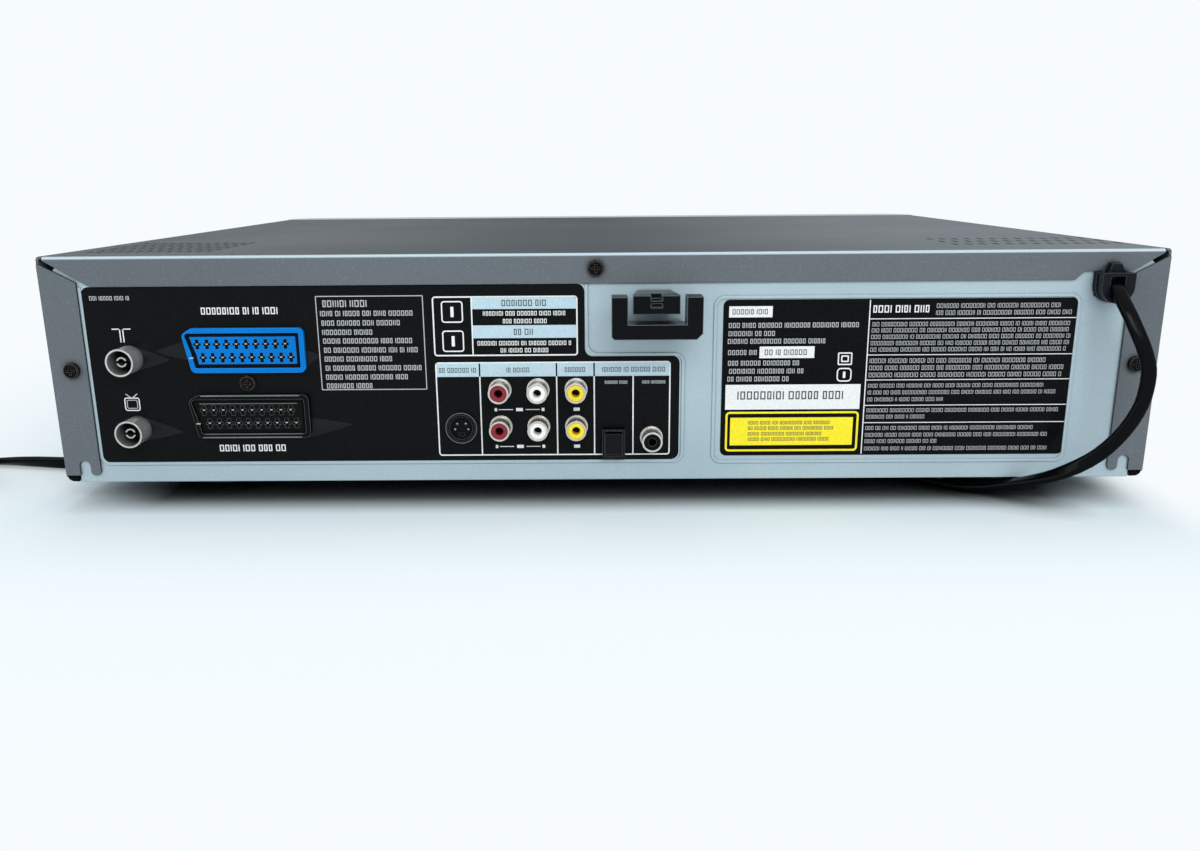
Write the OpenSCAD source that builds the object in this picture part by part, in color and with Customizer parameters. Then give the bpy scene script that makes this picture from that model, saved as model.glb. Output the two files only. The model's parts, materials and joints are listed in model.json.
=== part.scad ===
/* [Case] */
// Width across the cover
body_w = 432; // [428:1:460]
// Depth from the front face to the outside of the cover's rear flanges
body_d = 343; // [340:1:380]
// Height of the cover
cover_h = 88; // [87.5:0.5:110]
// How far the pan hangs below the cover's edge
pan_drop = 2; // [1:0.5:4]
// Height of the feet
foot_h = 9; // [8:0.5:20]
// Diameter of a foot
foot_d = 28; // [20:1:34]
// Thickness of the sheet metal
sheet = 1; // [0.8:0.1:1.2]
// Outside radius of the cover's folds
fold_r = 1.5; // [1.25:0.25:3]
// Height of the cover's top flange at the rear
top_flange = 11.5; // [10:0.1:12]
// Width of the cover's side flanges at the rear
side_flange = 14.8; // [12:0.2:16]
// Width of the open mitre seam between the flanges
seam = 1.6; // [1:0.1:2.4]
// Height of the pan's side walls above its floor
pan_side = 24; // [18:1:24]
// Diameter of a case screw's head
screw_head_d = 6; // [5:0.25:7]
// Diameter of a case screw's shank
screw_d = 3; // [2.5:0.1:3.5]

/* [Vents] */
// Width of a vent slot
vent_w = 2; // [1.4:0.1:2.4]
// Length of a vent slot
vent_len = 8; // [5:0.5:9]
// Columns of the wide-spaced field
wide_columns = 13; // [4:1:13]
// Rows of the wide-spaced field
wide_rows = 3; // [1:1:5]
// Columns of the dense field
dense_columns = 13; // [4:1:13]
// Rows of the dense field
dense_rows = 6; // [2:1:8]

/* [Front panel] */
// Depth of the moulded front panel
panel_depth = 25; // [24:0.5:30]
// Wall of the front panel
panel_wall = 2.5; // [2:0.1:3]
// Plan radius of the front panel's vertical corners
corner_r = 18; // [10:1:22]
// How far the buttons stand out
button_proud = 1.5; // [1.2:0.1:3]
// Travel of the buttons
button_travel = 0.8; // [0.4:0.1:1]
// Height of the button row above the pan's underside
button_row = 27; // [22:1:32]
// Width of a button
button_w = 16; // [10:1:20]
// Height of a button
button_h = 6; // [4:0.5:8]
// Diameter of the power button
power_d = 13; // [10:0.5:15]
// Width of the display window
window_w = 108; // [80:1:120]
// Height of the display window
window_h = 24; // [16:1:28]
// Gap from the front wall to the circuit board behind it
front_board_gap = 11; // [9:0.5:14]

/* [Cassette deck] */
// Gap between the cassette deck and the side of the case
deck_margin = 16; // [12:0.5:20]
// Width of a cassette
cassette_w = 188; // [184:1:189]
// Thickness of a cassette
cassette_h = 25; // [24:0.5:26]
// Depth of a cassette
cassette_d = 104; // [102:0.5:106]
// Height of the deck plate above the pan's floor
deck_lift = 18; // [17:0.5:20]
// Thickness of the deck plate
deck_t = 1.5; // [1.2:0.1:2]
// Height of the waiting cassette above the deck plate
wait_lift = 30.5; // [29:0.5:32]
// How far the cassette is drawn in
load_slide = 60; // [50:1:60]
// How far the cassette is lowered
load_drop = 24; // [20:0.5:24]
// Diameter of the head drum
drum_d = 62; // [58:1:64]
// Distance between the reel tables
reel_pitch = 92; // [88:1:96]
// Diameter of a reel table
reel_d = 40; // [32:1:44]
// Diameter of the capstan shaft
capstan_d = 3; // [2.5:0.1:4]
// Diameter of the pinch roller
roller_d = 16; // [13:0.5:17]
// Swing of the pinch arm, in degrees
pinch_swing = 25; // [15:1:30]
// Travel of the tape guides
guide_travel = 50; // [40:1:52]

/* [Disc drive] */
// Gap between the disc drive and the side of the case
drive_margin = 32.5; // [30:0.5:40]
// Width of the disc tray
tray_w = 134; // [130:1:138]
// Travel of the disc tray
tray_travel = 150; // [120:1:152]
// Diameter of a disc
disc_d = 120; // [118:0.5:121]
// Length of the drive's frame
drive_l = 190; // [188:1:196]
// Height of the drive's floor above the pan's floor
drive_lift = 36; // [30:0.5:38]
// Wall of the drive's frame
drive_wall = 2; // [1.6:0.1:2.5]
// Thickness of the tray
tray_t = 6; // [5:0.5:7]
// Module of the tray's rack and gear
tooth_module = 1.5; // [1.2:0.1:1.6]
// Teeth of the tray gear
gear_teeth = 16; // [14:1:18]
// Travel of the laser sled
sled_travel = 35; // [25:1:36]
// Diameter of the sled's guide rods
rod_d = 4; // [3:0.25:5]

/* [Rear sockets] */
// Outer diameter of a phono socket
phono_d = 8; // [8:0.1:8.6]
// How far a phono socket stands out
phono_reach = 8; // [6:0.25:10]
// Distance between phono sockets
phono_pitch = 14.9; // [14:0.1:16]
// Outer diameter of an aerial socket
aerial_d = 10.7; // [10:0.1:13]
// How far an aerial socket stands out
aerial_reach = 8.5; // [6:0.25:10]
// Distance between the aerial sockets
aerial_pitch = 28.3; // [24:0.1:30]
// Width of a 21-pin socket
scart_w = 47.3; // [47:0.1:50]
// Height of a 21-pin socket
scart_h = 17.5; // [17:0.1:18.4]
// How far a 21-pin socket stands out
scart_reach = 1.5; // [1:0.25:5]
// Distance between the 21-pin sockets
scart_pitch = 26.3; // [25.8:0.1:28]
// Diameter of the four-pin video socket
svideo_d = 12.6; // [12:0.1:13]
// Width of the optical socket
optical_w = 8.9; // [8:0.1:9.4]
// Height of the optical socket
optical_h = 11.5; // [11:0.1:12]

/* [Cord] */
// Reach of the cord hook behind the rear flanges
hook_reach = 22.5; // [18:0.5:26]
// Width of the cord hook
hook_w = 33.2; // [32:0.1:36]
// Diameter of the mains cord
cord_d = 4.8; // [3.6:0.1:5.4]
// Outside radius of the coiled rest of the cord
coil_r = 38; // [34:1:40]
// Length of the mains plug's body
plug_l = 30; // [24:1:36]
// Length of a plug pin
plug_pin_l = 19; // [16:0.5:20]
// Diameter of a plug pin
plug_pin_d = 4; // [3.5:0.1:4.8]
// Distance between the plug pins
plug_pin_pitch = 19; // [17:0.5:20]

/* [Hidden] */
$fn = 48;

// Clearances
run_gap = 0.1;      // between a turning shaft and its bore, on the radius
slide_gap = 0.3;    // beside a sliding piece
fit_gap = 0.05;     // around a piece held in its seat
trim_gap = 0.4;     // around a piece in a panel's opening
lift_gap = 0.2;     // under a turning or sliding piece

// Planes of the case; the front faces -Y and the floor it stands on is at z = 0
half_w = body_w / 2;
rear_y = (body_d + button_proud - hook_reach) / 2;
front_y = rear_y - body_d;
cover_y = front_y + panel_depth;
pan_z = foot_h;
floor_z = pan_z + sheet;
cover_z = pan_z + pan_drop;
top_z = cover_z + cover_h;
in_x = half_w - sheet;
panel_x = half_w - fold_r;
panel_top = top_z - fold_r;
skin_y = rear_y - sheet;
wall_y = skin_y - sheet;
front_in_y = front_y + panel_wall;

// Raised beads on the rear panel
bead_w = 1.2;
bead_h = 0.4;

// Feet and screws
foot_x = half_w - 51;
foot_rear_y = rear_y - 39;
foot_front_y = front_y + 45;
screw_len = 8;
side_screw_x = half_w - 9.1;
side_screw_z = cover_z + 44;
top_screw_z = top_z - top_flange / 2;
top_screw_x = 1.9;

// Circuit boards
board_t = 1.6;
board_lift = 6;
board_z = floor_z + board_lift;
board_top = board_z + board_t;
power_x = [11 - half_w, 166 - half_w];
main_x = [power_x[1] + 18, half_w - 9];
main_y = [rear_y - 123, wall_y - 1];
power_y = [rear_y - 57, wall_y - 1];
post_d = 7;

// Vents
wide_x = half_w - 71;
wide_step = [5.5, 16];
wide_y = rear_y - 32;
dense_x = half_w - 59;
dense_step = [4, 10];
dense_y = rear_y - 22;

// Cassette deck
deck_z = floor_z + deck_lift;
deck_top = deck_z + deck_t;
cassette_z = deck_top + wait_lift;
holder_t = 1.2;
holder_gap = 1;
holder_half = cassette_w / 2 + holder_gap + holder_t;
holder_y = front_y + 37;
holder_top = cassette_z + cassette_h + holder_gap + holder_t;
ledge_w = 12;
runner_t = 1.5;
runner_in = holder_half + slide_gap;
runner_half = runner_in + runner_t;
runner_top = holder_top + 2.8;
frame_in = runner_half + slide_gap;
frame_t = 1.2;
frame_half = frame_in + frame_t;
ledge_seat = runner_half - 0.6;
deck_half = frame_half + 0.5;
deck_x = deck_margin + deck_half - half_w;
frame_top = runner_top + 2;
frame_y = [holder_y - 3, holder_y + cassette_d + load_slide + 2];
pin_d = 4;
pin_z = holder_top - 3.2;
runner_low = pin_z - load_drop - pin_d / 2 - 3;
pin_ys = [holder_y + 18, holder_y + cassette_d - 22];
deck_y = [front_y + 32, rear_y - 61];
drum_back = 203;
drum_y = holder_y + drum_back;
drum_split = deck_top + 20.5;
drum_top = deck_top + 42;
drum_shaft_d = 6;
drum_foot = [26, 10, 6];
reel_back = 115;
reel_y = holder_y + reel_back;
reel_shaft_d = 5;
capstan_side = 60;
capstan_back = 171;
capstan_x = deck_x + capstan_side;
capstan_y = holder_y + capstan_back;
tape_post_h = 28;
capstan_top = deck_top + tape_post_h;
flywheel_d = 50;
flywheel_t = 6;
flywheel_z = deck_z - 9;
pinch_len = 26;
pinch_reach = capstan_d / 2 + roller_d / 2 + run_gap;
pinch_at = [capstan_x + pinch_len, capstan_y + pinch_reach];
pinch_post_d = 5;
arm_z = deck_top + 12;
arm_t = 2;
roller_at = pinch_at + pinch_len * [cos(180 - pinch_swing), sin(180 - pinch_swing)];
roller_pin_d = 3;
guide_x = drum_d / 2 + 11;
guide_back = 153;
guide_y = holder_y + guide_back;
guide_pin_d = 4;
guide_top = deck_top + tape_post_h;

// Cassette door and its opening
door_half = cassette_w / 2 + 1;
door_z = [cassette_z - 2, cassette_z + cassette_h + 3];
door_t = 2.2;
door_axis = [front_in_y + 2.5, door_z[1] - 2];
door_pin_d = 2.5;

// Disc drive
drive_z = floor_z + drive_lift;
drive_in_z = drive_z + drive_wall;
tray_half = tray_w / 2;
drive_in = tray_half + 0.5;
drive_half = drive_in + drive_wall;
drive_x = half_w - drive_margin - drive_half;
drive_y = [front_y + 27, front_y + 27 + drive_l];
tray_z = drive_z + 27;
tray_top = tray_z + tray_t;
drive_top = tray_top + 10;
disc_y = front_y + 97;
tray_y = [front_y + 5, front_y + 170];
rail_end = front_y + 207;
rail_w = 13;
rail_seat = 6;
window_half = 22;
fascia_half = tray_half + 4;
fascia_z = [tray_z - 5, tray_top + 7];
gear_r = tooth_module * gear_teeth / 2;
rack_back = 3;
rack_x = drive_x - tray_half + 8 + rack_back;
gear_x = rack_x + tooth_module * 1.25 + gear_r + 0.3;
gear_y = front_y + 42;
gear_post_d = 5;
rack_h = 4;
rack_y = [gear_y - 8, gear_y + tray_travel + 8];
tooth_pitch = PI * tooth_module;
bridge_w = 32;
bridge_t = 2;
clamp_neck_d = 20;
clamp_rim_d = 28;
motor_d = 26;
spindle_d = 3;
table_d = 30;
rotor_d = 18;
bridge_window = [30, 14];
window_x = 40;
motor_z = [drive_in_z + 8, drive_in_z + 20];
table_z = tray_z + 2;
rod_x = 30;
rod_z = drive_in_z + 14;
sled_y = [disc_y + 15, disc_y + 53];
rod_y = [disc_y - 16, sled_y[1] + sled_travel + 10];
end_t = 6;
sled_z = [rod_z - 4, rod_z + 4];
screw_x = 40;
lead_screw_d = 5;

// Display window and buttons: name, place across and 0 for a round one
window_at = [drive_x, pan_z + button_row];
button_z = window_at[1];
button_step = 24;
buttons = [
    ["power", deck_x - 84, 0], ["eject", deck_x + 76, 1], ["rewind", deck_x - 2 * button_step, 1],
    ["play", deck_x - button_step, 1], ["forward", deck_x, 1], ["stop", deck_x + button_step, 1],
    ["open", half_w - 28, 1]];
switch_h = 4.5;
switch_y = front_in_y + front_board_gap - switch_h;

// Rear sockets, as distances from the middle and heights above the pan's underside
phono_x = [9.9, 9.9 + phono_pitch, 9.9 + 2 * phono_pitch];
phono_z = [pan_z + 22.3, pan_z + 22.3 + phono_pitch];
coax_at = [-19.7, pan_z + 17.6];
phono_wall = 0.7;
phono_flange_d = phono_d + 1;
phono_hole_d = 3.2;
label_t = 0.2;
socket_back = wall_y - 12;
seat_back = wall_y - 9;
aerial_x = half_w - 31.9;
aerial_zs = [pan_z + 22, pan_z + 22 + aerial_pitch];
aerial_wall = 0.65;
contact_d = 4;
contact_wall = 0.6;
scart_x = half_w - 77.4;
scart_zs = [pan_z + 27.3, pan_z + 27.3 + scart_pitch];
scart_gap = 0.9;
scart_mid_z = (scart_zs[0] + scart_zs[1]) / 2;
svideo_at = [55.5, pan_z + 21.8];
optical_at = [-4.75, pan_z + 9.9];
shutter_t = 1;
shutter_pin_d = 1;
optical_wall = 0.9;
optical_face = rear_y + 3;
can_x = [aerial_x - 12, aerial_x + 14];
contact_pitch = 3.81;
shutter_w = optical_w - 2 * optical_wall - 0.4;
shutter_z = optical_at[1] + optical_h - optical_wall - 1.2;
shutter_y = optical_face - 0.4 - shutter_t / 2;
shutter_low = optical_at[1] + optical_wall + 0.3;

// Parts of the main board and of the power board: place from the board's corner, then the sizes
chips = [[20, 30, 20, 20], [70, 22, 28, 28], [120, 20, 14, 20], [150, 40, 16, 16], [60, 62, 12, 24]];
chip_h = 2.2;
can_step = 24;
cans = [[32, 16, 22, 30], [56, 12, 12, 20], [124, 12, 10, 18], [138, 12, 10, 18], [124, 26, 10, 14]];
core_at = [74, 10];
core = [34, 30, 24];

// Cord hook, bushing and cord
hook_x = -20.4;
hook_z = top_z - 29.8;
hook_arm = 5.9;
bushing_x = 22.25 - half_w;
bushing_z = top_z - 13.7;
bushing_reach = 6;
bushing_r = 6.4;
bushing_top = 5.2;
mouth_depth = 4;
cord_from = [bushing_x + 0.35, rear_y + bushing_reach - mouth_depth + slide_gap + 1.1, bushing_z + 1];
coil_at = [305, 151.6];
coil_h = 14;
coil_in = coil_r - 10;
coil_mouth = sqrt(pow(coil_r + slide_gap, 2) - pow(coil_r - cord_d, 2)) + 0.2;
plug_neck_l = 14;

// ---------- helpers ----------
module box(low, high) translate(low) cube(high - low);

// Outline drawn in x and z, made into a plate from y0 to y1
module upright(y0, y1) translate([0, y1, 0]) rotate([90, 0, 0]) linear_extrude(y1 - y0) children();

// Cylinder along Y
module rod(d, at, y0, y1) translate([at[0], y0, at[1]]) rotate([-90, 0, 0]) cylinder(d = d, h = y1 - y0);

// Cylinder along X
module pin(d, at, x0, x1) translate([x0, at[0], at[1]]) rotate([0, 90, 0]) cylinder(d = d, h = x1 - x0);

// Cylinder along Z
module post(d, at, z0, z1) translate([at[0], at[1], z0]) cylinder(d = d, h = z1 - z0);

// Slot with round ends, standing along the second axis
module slot(w, l) {
    translate([-w / 2, w / 2 - l / 2]) square([w, l - w]);
    for (s = [-1, 1]) translate([0, s * (l - w) / 2]) circle(d = w, $fn = 24);
}

// Rectangle with round corners
module round_rect(low, high, r) {
    translate([low[0] + r, low[1]]) square([high[0] - low[0] - 2 * r, high[1] - low[1]]);
    translate([low[0], low[1] + r]) square([high[0] - low[0], high[1] - low[1] - 2 * r]);
    for (x = [low[0] + r, high[0] - r], y = [low[1] + r, high[1] - r]) translate([x, y]) circle(r = r);
}

function unit(v) = v / norm(v);
function corner_arc(a, b, c, r, n) = let (
    u = unit(a - b), w = unit(c - b), half = acos(u * w) / 2,
    m = b + unit(u + w) * r / sin(half),
    s = b + u * r / tan(half), e = b + w * r / tan(half),
    from = atan2(s[1] - m[1], s[0] - m[0]), to = atan2(e[1] - m[1], e[0] - m[0]),
    turn = (to - from + 540) % 360 - 180
) [for (i = [0:n]) m + r * [cos(from + turn * i / n), sin(from + turn * i / n)]];
function rounded(p, r, n = 6) = let (k = len(p))
    [for (i = [0:k - 1]) each corner_arc(p[(i + k - 1) % k], p[i], p[(i + 1) % k], r, n)];

// ---------- case ----------
module vent_field(x, y, step, columns, rows, side) {
    for (i = [0:columns - 1], j = [0:rows - 1])
        translate([side * (x + i * step[0]), y - j * step[1]]) slot(vent_w, vent_len);
}

// Outline of the cover in x and z: an upside-down U with folded corners
module cover_outline(w, h, r) {
    translate([-w / 2, 0]) square([w, h - r]);
    translate([r - w / 2, 0]) square([w - 2 * r, h]);
    for (s = [-1, 1]) translate([s * (w / 2 - r), h - r]) circle(r = r);
}

// Quarter ring of a fold, in its own plane
module fold_ring() {
    intersection() {
        difference() {
            circle(r = fold_r);
            circle(r = fold_r - sheet);
        }
        square(fold_r);
    }
}

module top_flange_outline() {
    low = top_z - top_flange;
    raised = low + 3.3;
    step_x = bushing_x + 13.65;
    end = half_w - fold_r - seam;
    inner = half_w - side_flange - 5.2;
    difference() {
        polygon([[-end, top_z - fold_r], [-inner - 5.8, raised], [step_x - 3.4, raised], [step_x, low],
            [inner, low], [end, top_z - fold_r]]);
        polygon([[bushing_x - 4.3, raised - 1], [bushing_x - 2.4, top_z - 5],
            [bushing_x + 1.5, top_z - 5], [bushing_x + 3.6, raised], [bushing_x + 3.6, raised - 1]]);
        translate([top_screw_x, top_screw_z]) circle(d = screw_d + 2 * run_gap);
    }
}

module side_flange_outline() {
    inner = half_w - side_flange;
    notch_x = half_w - 8.7;
    leg_r = 2;
    difference() {
        union() {
            polygon([[half_w - fold_r, cover_z + 1], [half_w - fold_r, top_z - fold_r - seam],
                [inner, top_z - top_flange + 1.5], [inner, cover_z + 1 + leg_r],
                [inner + 2 * leg_r, cover_z + 1 + leg_r], [inner + 2 * leg_r, cover_z + 1]]);
            translate([inner + leg_r, cover_z + 1 + leg_r]) circle(r = leg_r);
        }
        translate([notch_x, cover_z]) slot(4.5, 14.4);
        translate([side_screw_x, side_screw_z]) circle(d = screw_d + 2 * run_gap);
    }
}

module top_cover() color([0.43, 0.46, 0.49]) {
    fold_y = rear_y - fold_r;
    difference() {
        upright(cover_y, fold_y) translate([0, cover_z]) difference() {
            cover_outline(body_w, cover_h, fold_r);
            translate([0, -1]) cover_outline(body_w - 2 * sheet, cover_h - sheet + 1, fold_r - sheet);
        }
        translate([0, 0, top_z - sheet - 1]) linear_extrude(sheet + 2) {
            vent_field(wide_x, wide_y, wide_step, wide_columns, wide_rows, -1);
            vent_field(dense_x, dense_y, dense_step, dense_columns, dense_rows, 1);
        }
    }
    end = half_w - fold_r - seam;
    translate([-end, fold_y, top_z - fold_r]) rotate([90, 0, 90]) linear_extrude(2 * end) fold_ring();
    upright(skin_y, rear_y) top_flange_outline();
    for (s = [0, 1]) mirror([s, 0, 0]) {
        translate([half_w - fold_r, fold_y, cover_z + 1])
            linear_extrude(cover_h - 1 - fold_r - seam) fold_ring();
        upright(skin_y, rear_y) side_flange_outline();
    }
}

module bottom_chassis() color([0.75, 0.77, 0.78]) {
    difference() {
        union() {
            box([-in_x, cover_y, pan_z], [in_x, wall_y, floor_z]);
            for (s = [0, 1]) mirror([s, 0, 0])
                box([in_x - sheet, cover_y, floor_z], [in_x, wall_y, floor_z + pan_side]);
            for (x = [main_x[0] + 6, main_x[1] - 6], y = [main_y[0] + 6, main_y[1] - 30])
                post(post_d, [x, y], floor_z, board_z);
            for (x = [power_x[0] + 6, power_x[1] - 6], y = [power_y[0] + 6, power_y[1] - 6])
                post(post_d, [x, y], floor_z, board_z);
            for (s = [-1, 1]) {
                post(post_d, [deck_x + s * (deck_half - 8), deck_y[0] + 8], floor_z, deck_z);
                post(post_d, [deck_x + s * 56, deck_y[1] - 8], floor_z, deck_z);
            }
            for (s = [-1, 1], y = [drive_y[0] + 8, drive_y[1] - 8])
                post(post_d, [drive_x + s * (drive_half - 8), y], floor_z, drive_z);
        }
        for (i = [0:11], y = [front_y + 90, front_y + 140])
            translate([drive_x + 8 * (i - 5.5), y, pan_z - 1]) linear_extrude(sheet + 2) slot(3, 36);
    }
}

module feet() color([0.12, 0.12, 0.13])
    for (x = [-foot_x, foot_x], y = [foot_front_y, foot_rear_y]) translate([x, y, 0]) rotate_extrude()
        polygon([[5, pan_z], [5, 3], [foot_d / 2 - 5, 3], [foot_d / 2 - 4, 0], [foot_d / 2 - 1.5, 0],
            [foot_d / 2, foot_h - 3], [foot_d / 2, pan_z]]);

module cross_screw(tip) {
    difference() {
        union() {
            cylinder(d = screw_head_d - 0.8, h = 2);
            cylinder(d = screw_head_d, h = 1.4);
            translate([0, 0, -tip]) cylinder(d = screw_d, h = tip);
        }
        for (a = [0, 90]) rotate([0, 0, a]) translate([-1.6, -0.35, 0.8]) cube([3.2, 0.7, 2]);
    }
}

module case_screws() color([0.08, 0.08, 0.09]) {
    for (at = [[side_screw_x, side_screw_z], [-side_screw_x, side_screw_z], [top_screw_x, top_screw_z]])
        translate([at[0], rear_y, at[1]]) rotate([-90, 0, 0]) cross_screw(screw_len);
    translate([scart_x, skin_y, scart_mid_z]) rotate([-90, 0, 0]) cross_screw(screw_len);
}

module rear_holes() {
    for (x = phono_x, z = phono_z) translate([x, z]) circle(d = phono_d + 2 * fit_gap);
    translate(coax_at) circle(d = phono_d + 2 * fit_gap);
    for (z = aerial_zs) translate([aerial_x, z]) circle(d = aerial_d + 2 * fit_gap);
    for (z = scart_zs) translate([scart_x, z]) polygon(rounded(scart_points(scart_gap), 2.5));
    translate(svideo_at) circle(d = svideo_d + 2 * fit_gap);
    translate([optical_at[0] - optical_w / 2 - fit_gap, optical_at[1] - fit_gap])
        square([optical_w + 2 * fit_gap, optical_h + 2 * fit_gap]);
    translate([bushing_x, bushing_z]) square([11 + 2 * fit_gap, 8 + 2 * fit_gap], center = true);
    for (x = [-side_screw_x, side_screw_x]) translate([x, side_screw_z]) circle(d = screw_d + 2 * run_gap);
    translate([top_screw_x, top_screw_z]) circle(d = screw_d + 2 * run_gap);
    translate([scart_x, scart_mid_z]) circle(d = screw_d + 2 * run_gap);
}

// Raised bead around the rating label
module rating_bead() {
    low = [bushing_x + 9.95, pan_z + 6.5];
    high = [hook_x - hook_w / 2 - 6.5, top_z - 16.7];
    difference() {
        round_rect(low, high, 4);
        round_rect(low + [bead_w, bead_w], high - [bead_w, bead_w], 4 - bead_w);
    }
}

// Outline around the socket label, drawn in by g
function socket_bead_points(g) = let (
    low = pan_z + 7, step = pan_z + 51.4, top = top_z + 4,
    right = half_w - side_flange - 0.2
) [[g - 32.6, low + g], [right - g, low + g], [right - g, top - g], [5 + g, top - g],
    [5 + g, step - g], [g - 32.6, step - g]];

// Raised bead around the socket label, open under the top flange
module socket_bead() intersection() {
    difference() {
        polygon(rounded(socket_bead_points(0), 4));
        polygon(rounded(socket_bead_points(bead_w), 4 - bead_w));
    }
    translate([-half_w, 0]) square([body_w, top_z - top_flange - slide_gap]);
}

module rear_panel() color([0.68, 0.76, 0.8]) {
    upright(wall_y, skin_y) difference() {
        polygon([[-panel_x + 4.5, pan_z], [panel_x - 4.5, pan_z], [panel_x - 4.5, pan_z + 3.5],
            [panel_x, pan_z + 3.5], [panel_x, panel_top - 8.5], [panel_x - 8.5, panel_top],
            [8.5 - panel_x, panel_top], [-panel_x, panel_top - 8.5], [-panel_x, pan_z + 3.5],
            [4.5 - panel_x, pan_z + 3.5]]);
        rear_holes();
    }
    upright(skin_y, skin_y + bead_h) rating_bead();
    upright(skin_y, skin_y + bead_h) socket_bead();
}

module panel_plan(inset) {
    r = corner_r - inset;
    translate([inset - half_w, front_y + corner_r]) square([body_w - 2 * inset, panel_depth - corner_r]);
    translate([corner_r - half_w, front_y + inset]) square([body_w - 2 * corner_r, panel_depth - inset]);
    intersection() {
        for (s = [-1, 1]) translate([s * (half_w - corner_r), front_y + corner_r]) circle(r = r, $fn = 64);
        translate([-body_w, front_y - corner_r]) square([2 * body_w, 2 * corner_r]);
    }
}

module button_shape(b, grow) translate([b[1], button_z]) {
    if (b[2] == 0) circle(d = power_d + 2 * grow);
    if (b[2] == 1) square([button_w + 2 * grow, button_h + 2 * grow], center = true);
}

module front_panel() color([0.62, 0.65, 0.68]) {
    difference() {
        translate([0, 0, pan_z]) linear_extrude(top_z - pan_z) panel_plan(0);
        translate([0, 0, pan_z + panel_wall]) linear_extrude(top_z - pan_z - 2 * panel_wall)
            union() {
                panel_plan(panel_wall);
                translate([panel_wall - half_w, cover_y - 1]) square([body_w - 2 * panel_wall, 2]);
            }
        translate([0, 0, door_z[0] - 6]) linear_extrude(1.2) difference() {
            panel_plan(-1);
            panel_plan(1);
            translate([-half_w, cover_y - 1]) square([body_w, 3]);
        }
        upright(front_y - 1, front_in_y + 1) {
            translate([deck_x - door_half - trim_gap, door_z[0] - trim_gap])
                square([2 * (door_half + trim_gap), door_z[1] - door_z[0] + 2 * trim_gap]);
            translate([drive_x - fascia_half - trim_gap, fascia_z[0] - trim_gap])
                square([2 * (fascia_half + trim_gap), fascia_z[1] - fascia_z[0] + 2 * trim_gap]);
            for (b = buttons) button_shape(b, slide_gap);
            translate(window_at) square([window_w - 6, window_h - 6], center = true);
        }
        upright(front_y - 1, front_y + 1.5)
            translate(window_at) square([window_w + 0.2, window_h + 0.2], center = true);
    }
    for (s = [-1, 1]) difference() {
        x = [deck_x + s * (door_half + 0.6), deck_x + s * (door_half + 5)];
        box([min(x), front_in_y, door_axis[1] - 3.5], [max(x), door_axis[0] + 3, door_axis[1] + 3.5]);
        pin(door_pin_d + 2 * run_gap, door_axis, min(x) - 1, max(x) + 1);
    }
    posts = [37 - half_w, deck_x + deck_half - 10, drive_x - drive_half - 4.5, half_w - 13];
    for (x = posts, z = [pan_z + 8, button_z + 11])
        rod(5, [x, z], front_in_y, front_in_y + front_board_gap);
}

module display_window() color([0.05, 0.06, 0.08])
    upright(front_y, front_y + 1.5) translate(window_at) square([window_w, window_h], center = true);

module button(name) {
    b = [for (e = buttons) if (e[0] == name) e][0];
    color([0.8, 0.82, 0.84]) {
        upright(front_y - button_proud, front_in_y + lift_gap) button_shape(b, 0);
        upright(front_in_y + lift_gap, front_in_y + lift_gap + 1.2) button_shape(b, 1.2);
        rod(4, [b[1], button_z], front_in_y + lift_gap + 1, switch_y - button_travel - lift_gap);
    }
}

module front_board() color([0.13, 0.35, 0.2]) {
    y = front_in_y + front_board_gap;
    box([21 - half_w, y, pan_z + 5], [half_w - 6, y + board_t, door_z[0] - 4]);
    for (b = buttons) box([b[1] - 3, switch_y, button_z - 3], [b[1] + 3, y, button_z + 3]);
    translate([window_at[0], 0, window_at[1]])
        box([-window_w / 2 + 8, front_in_y + 2, -7], [window_w / 2 - 8, y, 7]);
}

// ---------- circuit boards ----------
module main_board() color([0.13, 0.4, 0.22]) {
    box([main_x[0], main_y[0], board_z], [main_x[1], main_y[1], board_top]);
    for (c = chips)
        translate([main_x[0] + c[0], main_y[0] + c[1], board_top]) cube([c[2], c[3], chip_h]);
    for (i = [0:7]) post(6, [main_x[0] + 15 + can_step * i, main_y[0] + 8], board_top, board_top + 9);
}

module power_board() color([0.55, 0.42, 0.22]) {
    box([power_x[0], power_y[0], board_z], [power_x[1], power_y[1], board_top]);
    translate([power_x[1] - 30, power_y[1] - 16, board_top]) cube([22, 12, 10]);
    translate([power_x[0] + 4, power_y[1] - 16, board_top]) cube([14, 12, 16]);
}

module transformer() color([0.35, 0.3, 0.25]) {
    at = [power_x[0] + core_at[0], power_y[0] + core_at[1], board_top];
    translate(at) cube([core[0], core[1], 4]);
    translate(at + [3, 2, 4]) cube([core[0] - 6, core[1] - 4, core[2] - 6]);
    translate(at + [0, 7, 4]) cube([core[0], core[1] - 14, core[2] - 4]);
}

module capacitors() color([0.1, 0.12, 0.3]) {
    for (c = cans) post(c[2], [power_x[0] + c[0], power_y[0] + c[1]], board_top, board_top + c[3]);
}

module heatsink() color([0.7, 0.7, 0.72]) translate([power_x[0] + 24, power_y[0] + 36, board_top]) {
    cube([44, 2, 28]);
    for (i = [0:7]) translate([i * 6, 1.5, 0]) cube([2, 8, 28]);
}

module tuner_can() color([0.78, 0.8, 0.8]) difference() {
    box([can_x[0], wall_y - 74, board_top], [can_x[1], wall_y, aerial_zs[1] + 12]);
    box([can_x[0] + 3, wall_y - 60, aerial_zs[1] + 11], [can_x[1] - 3, wall_y - 30, aerial_zs[1] + 13]);
}

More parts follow.
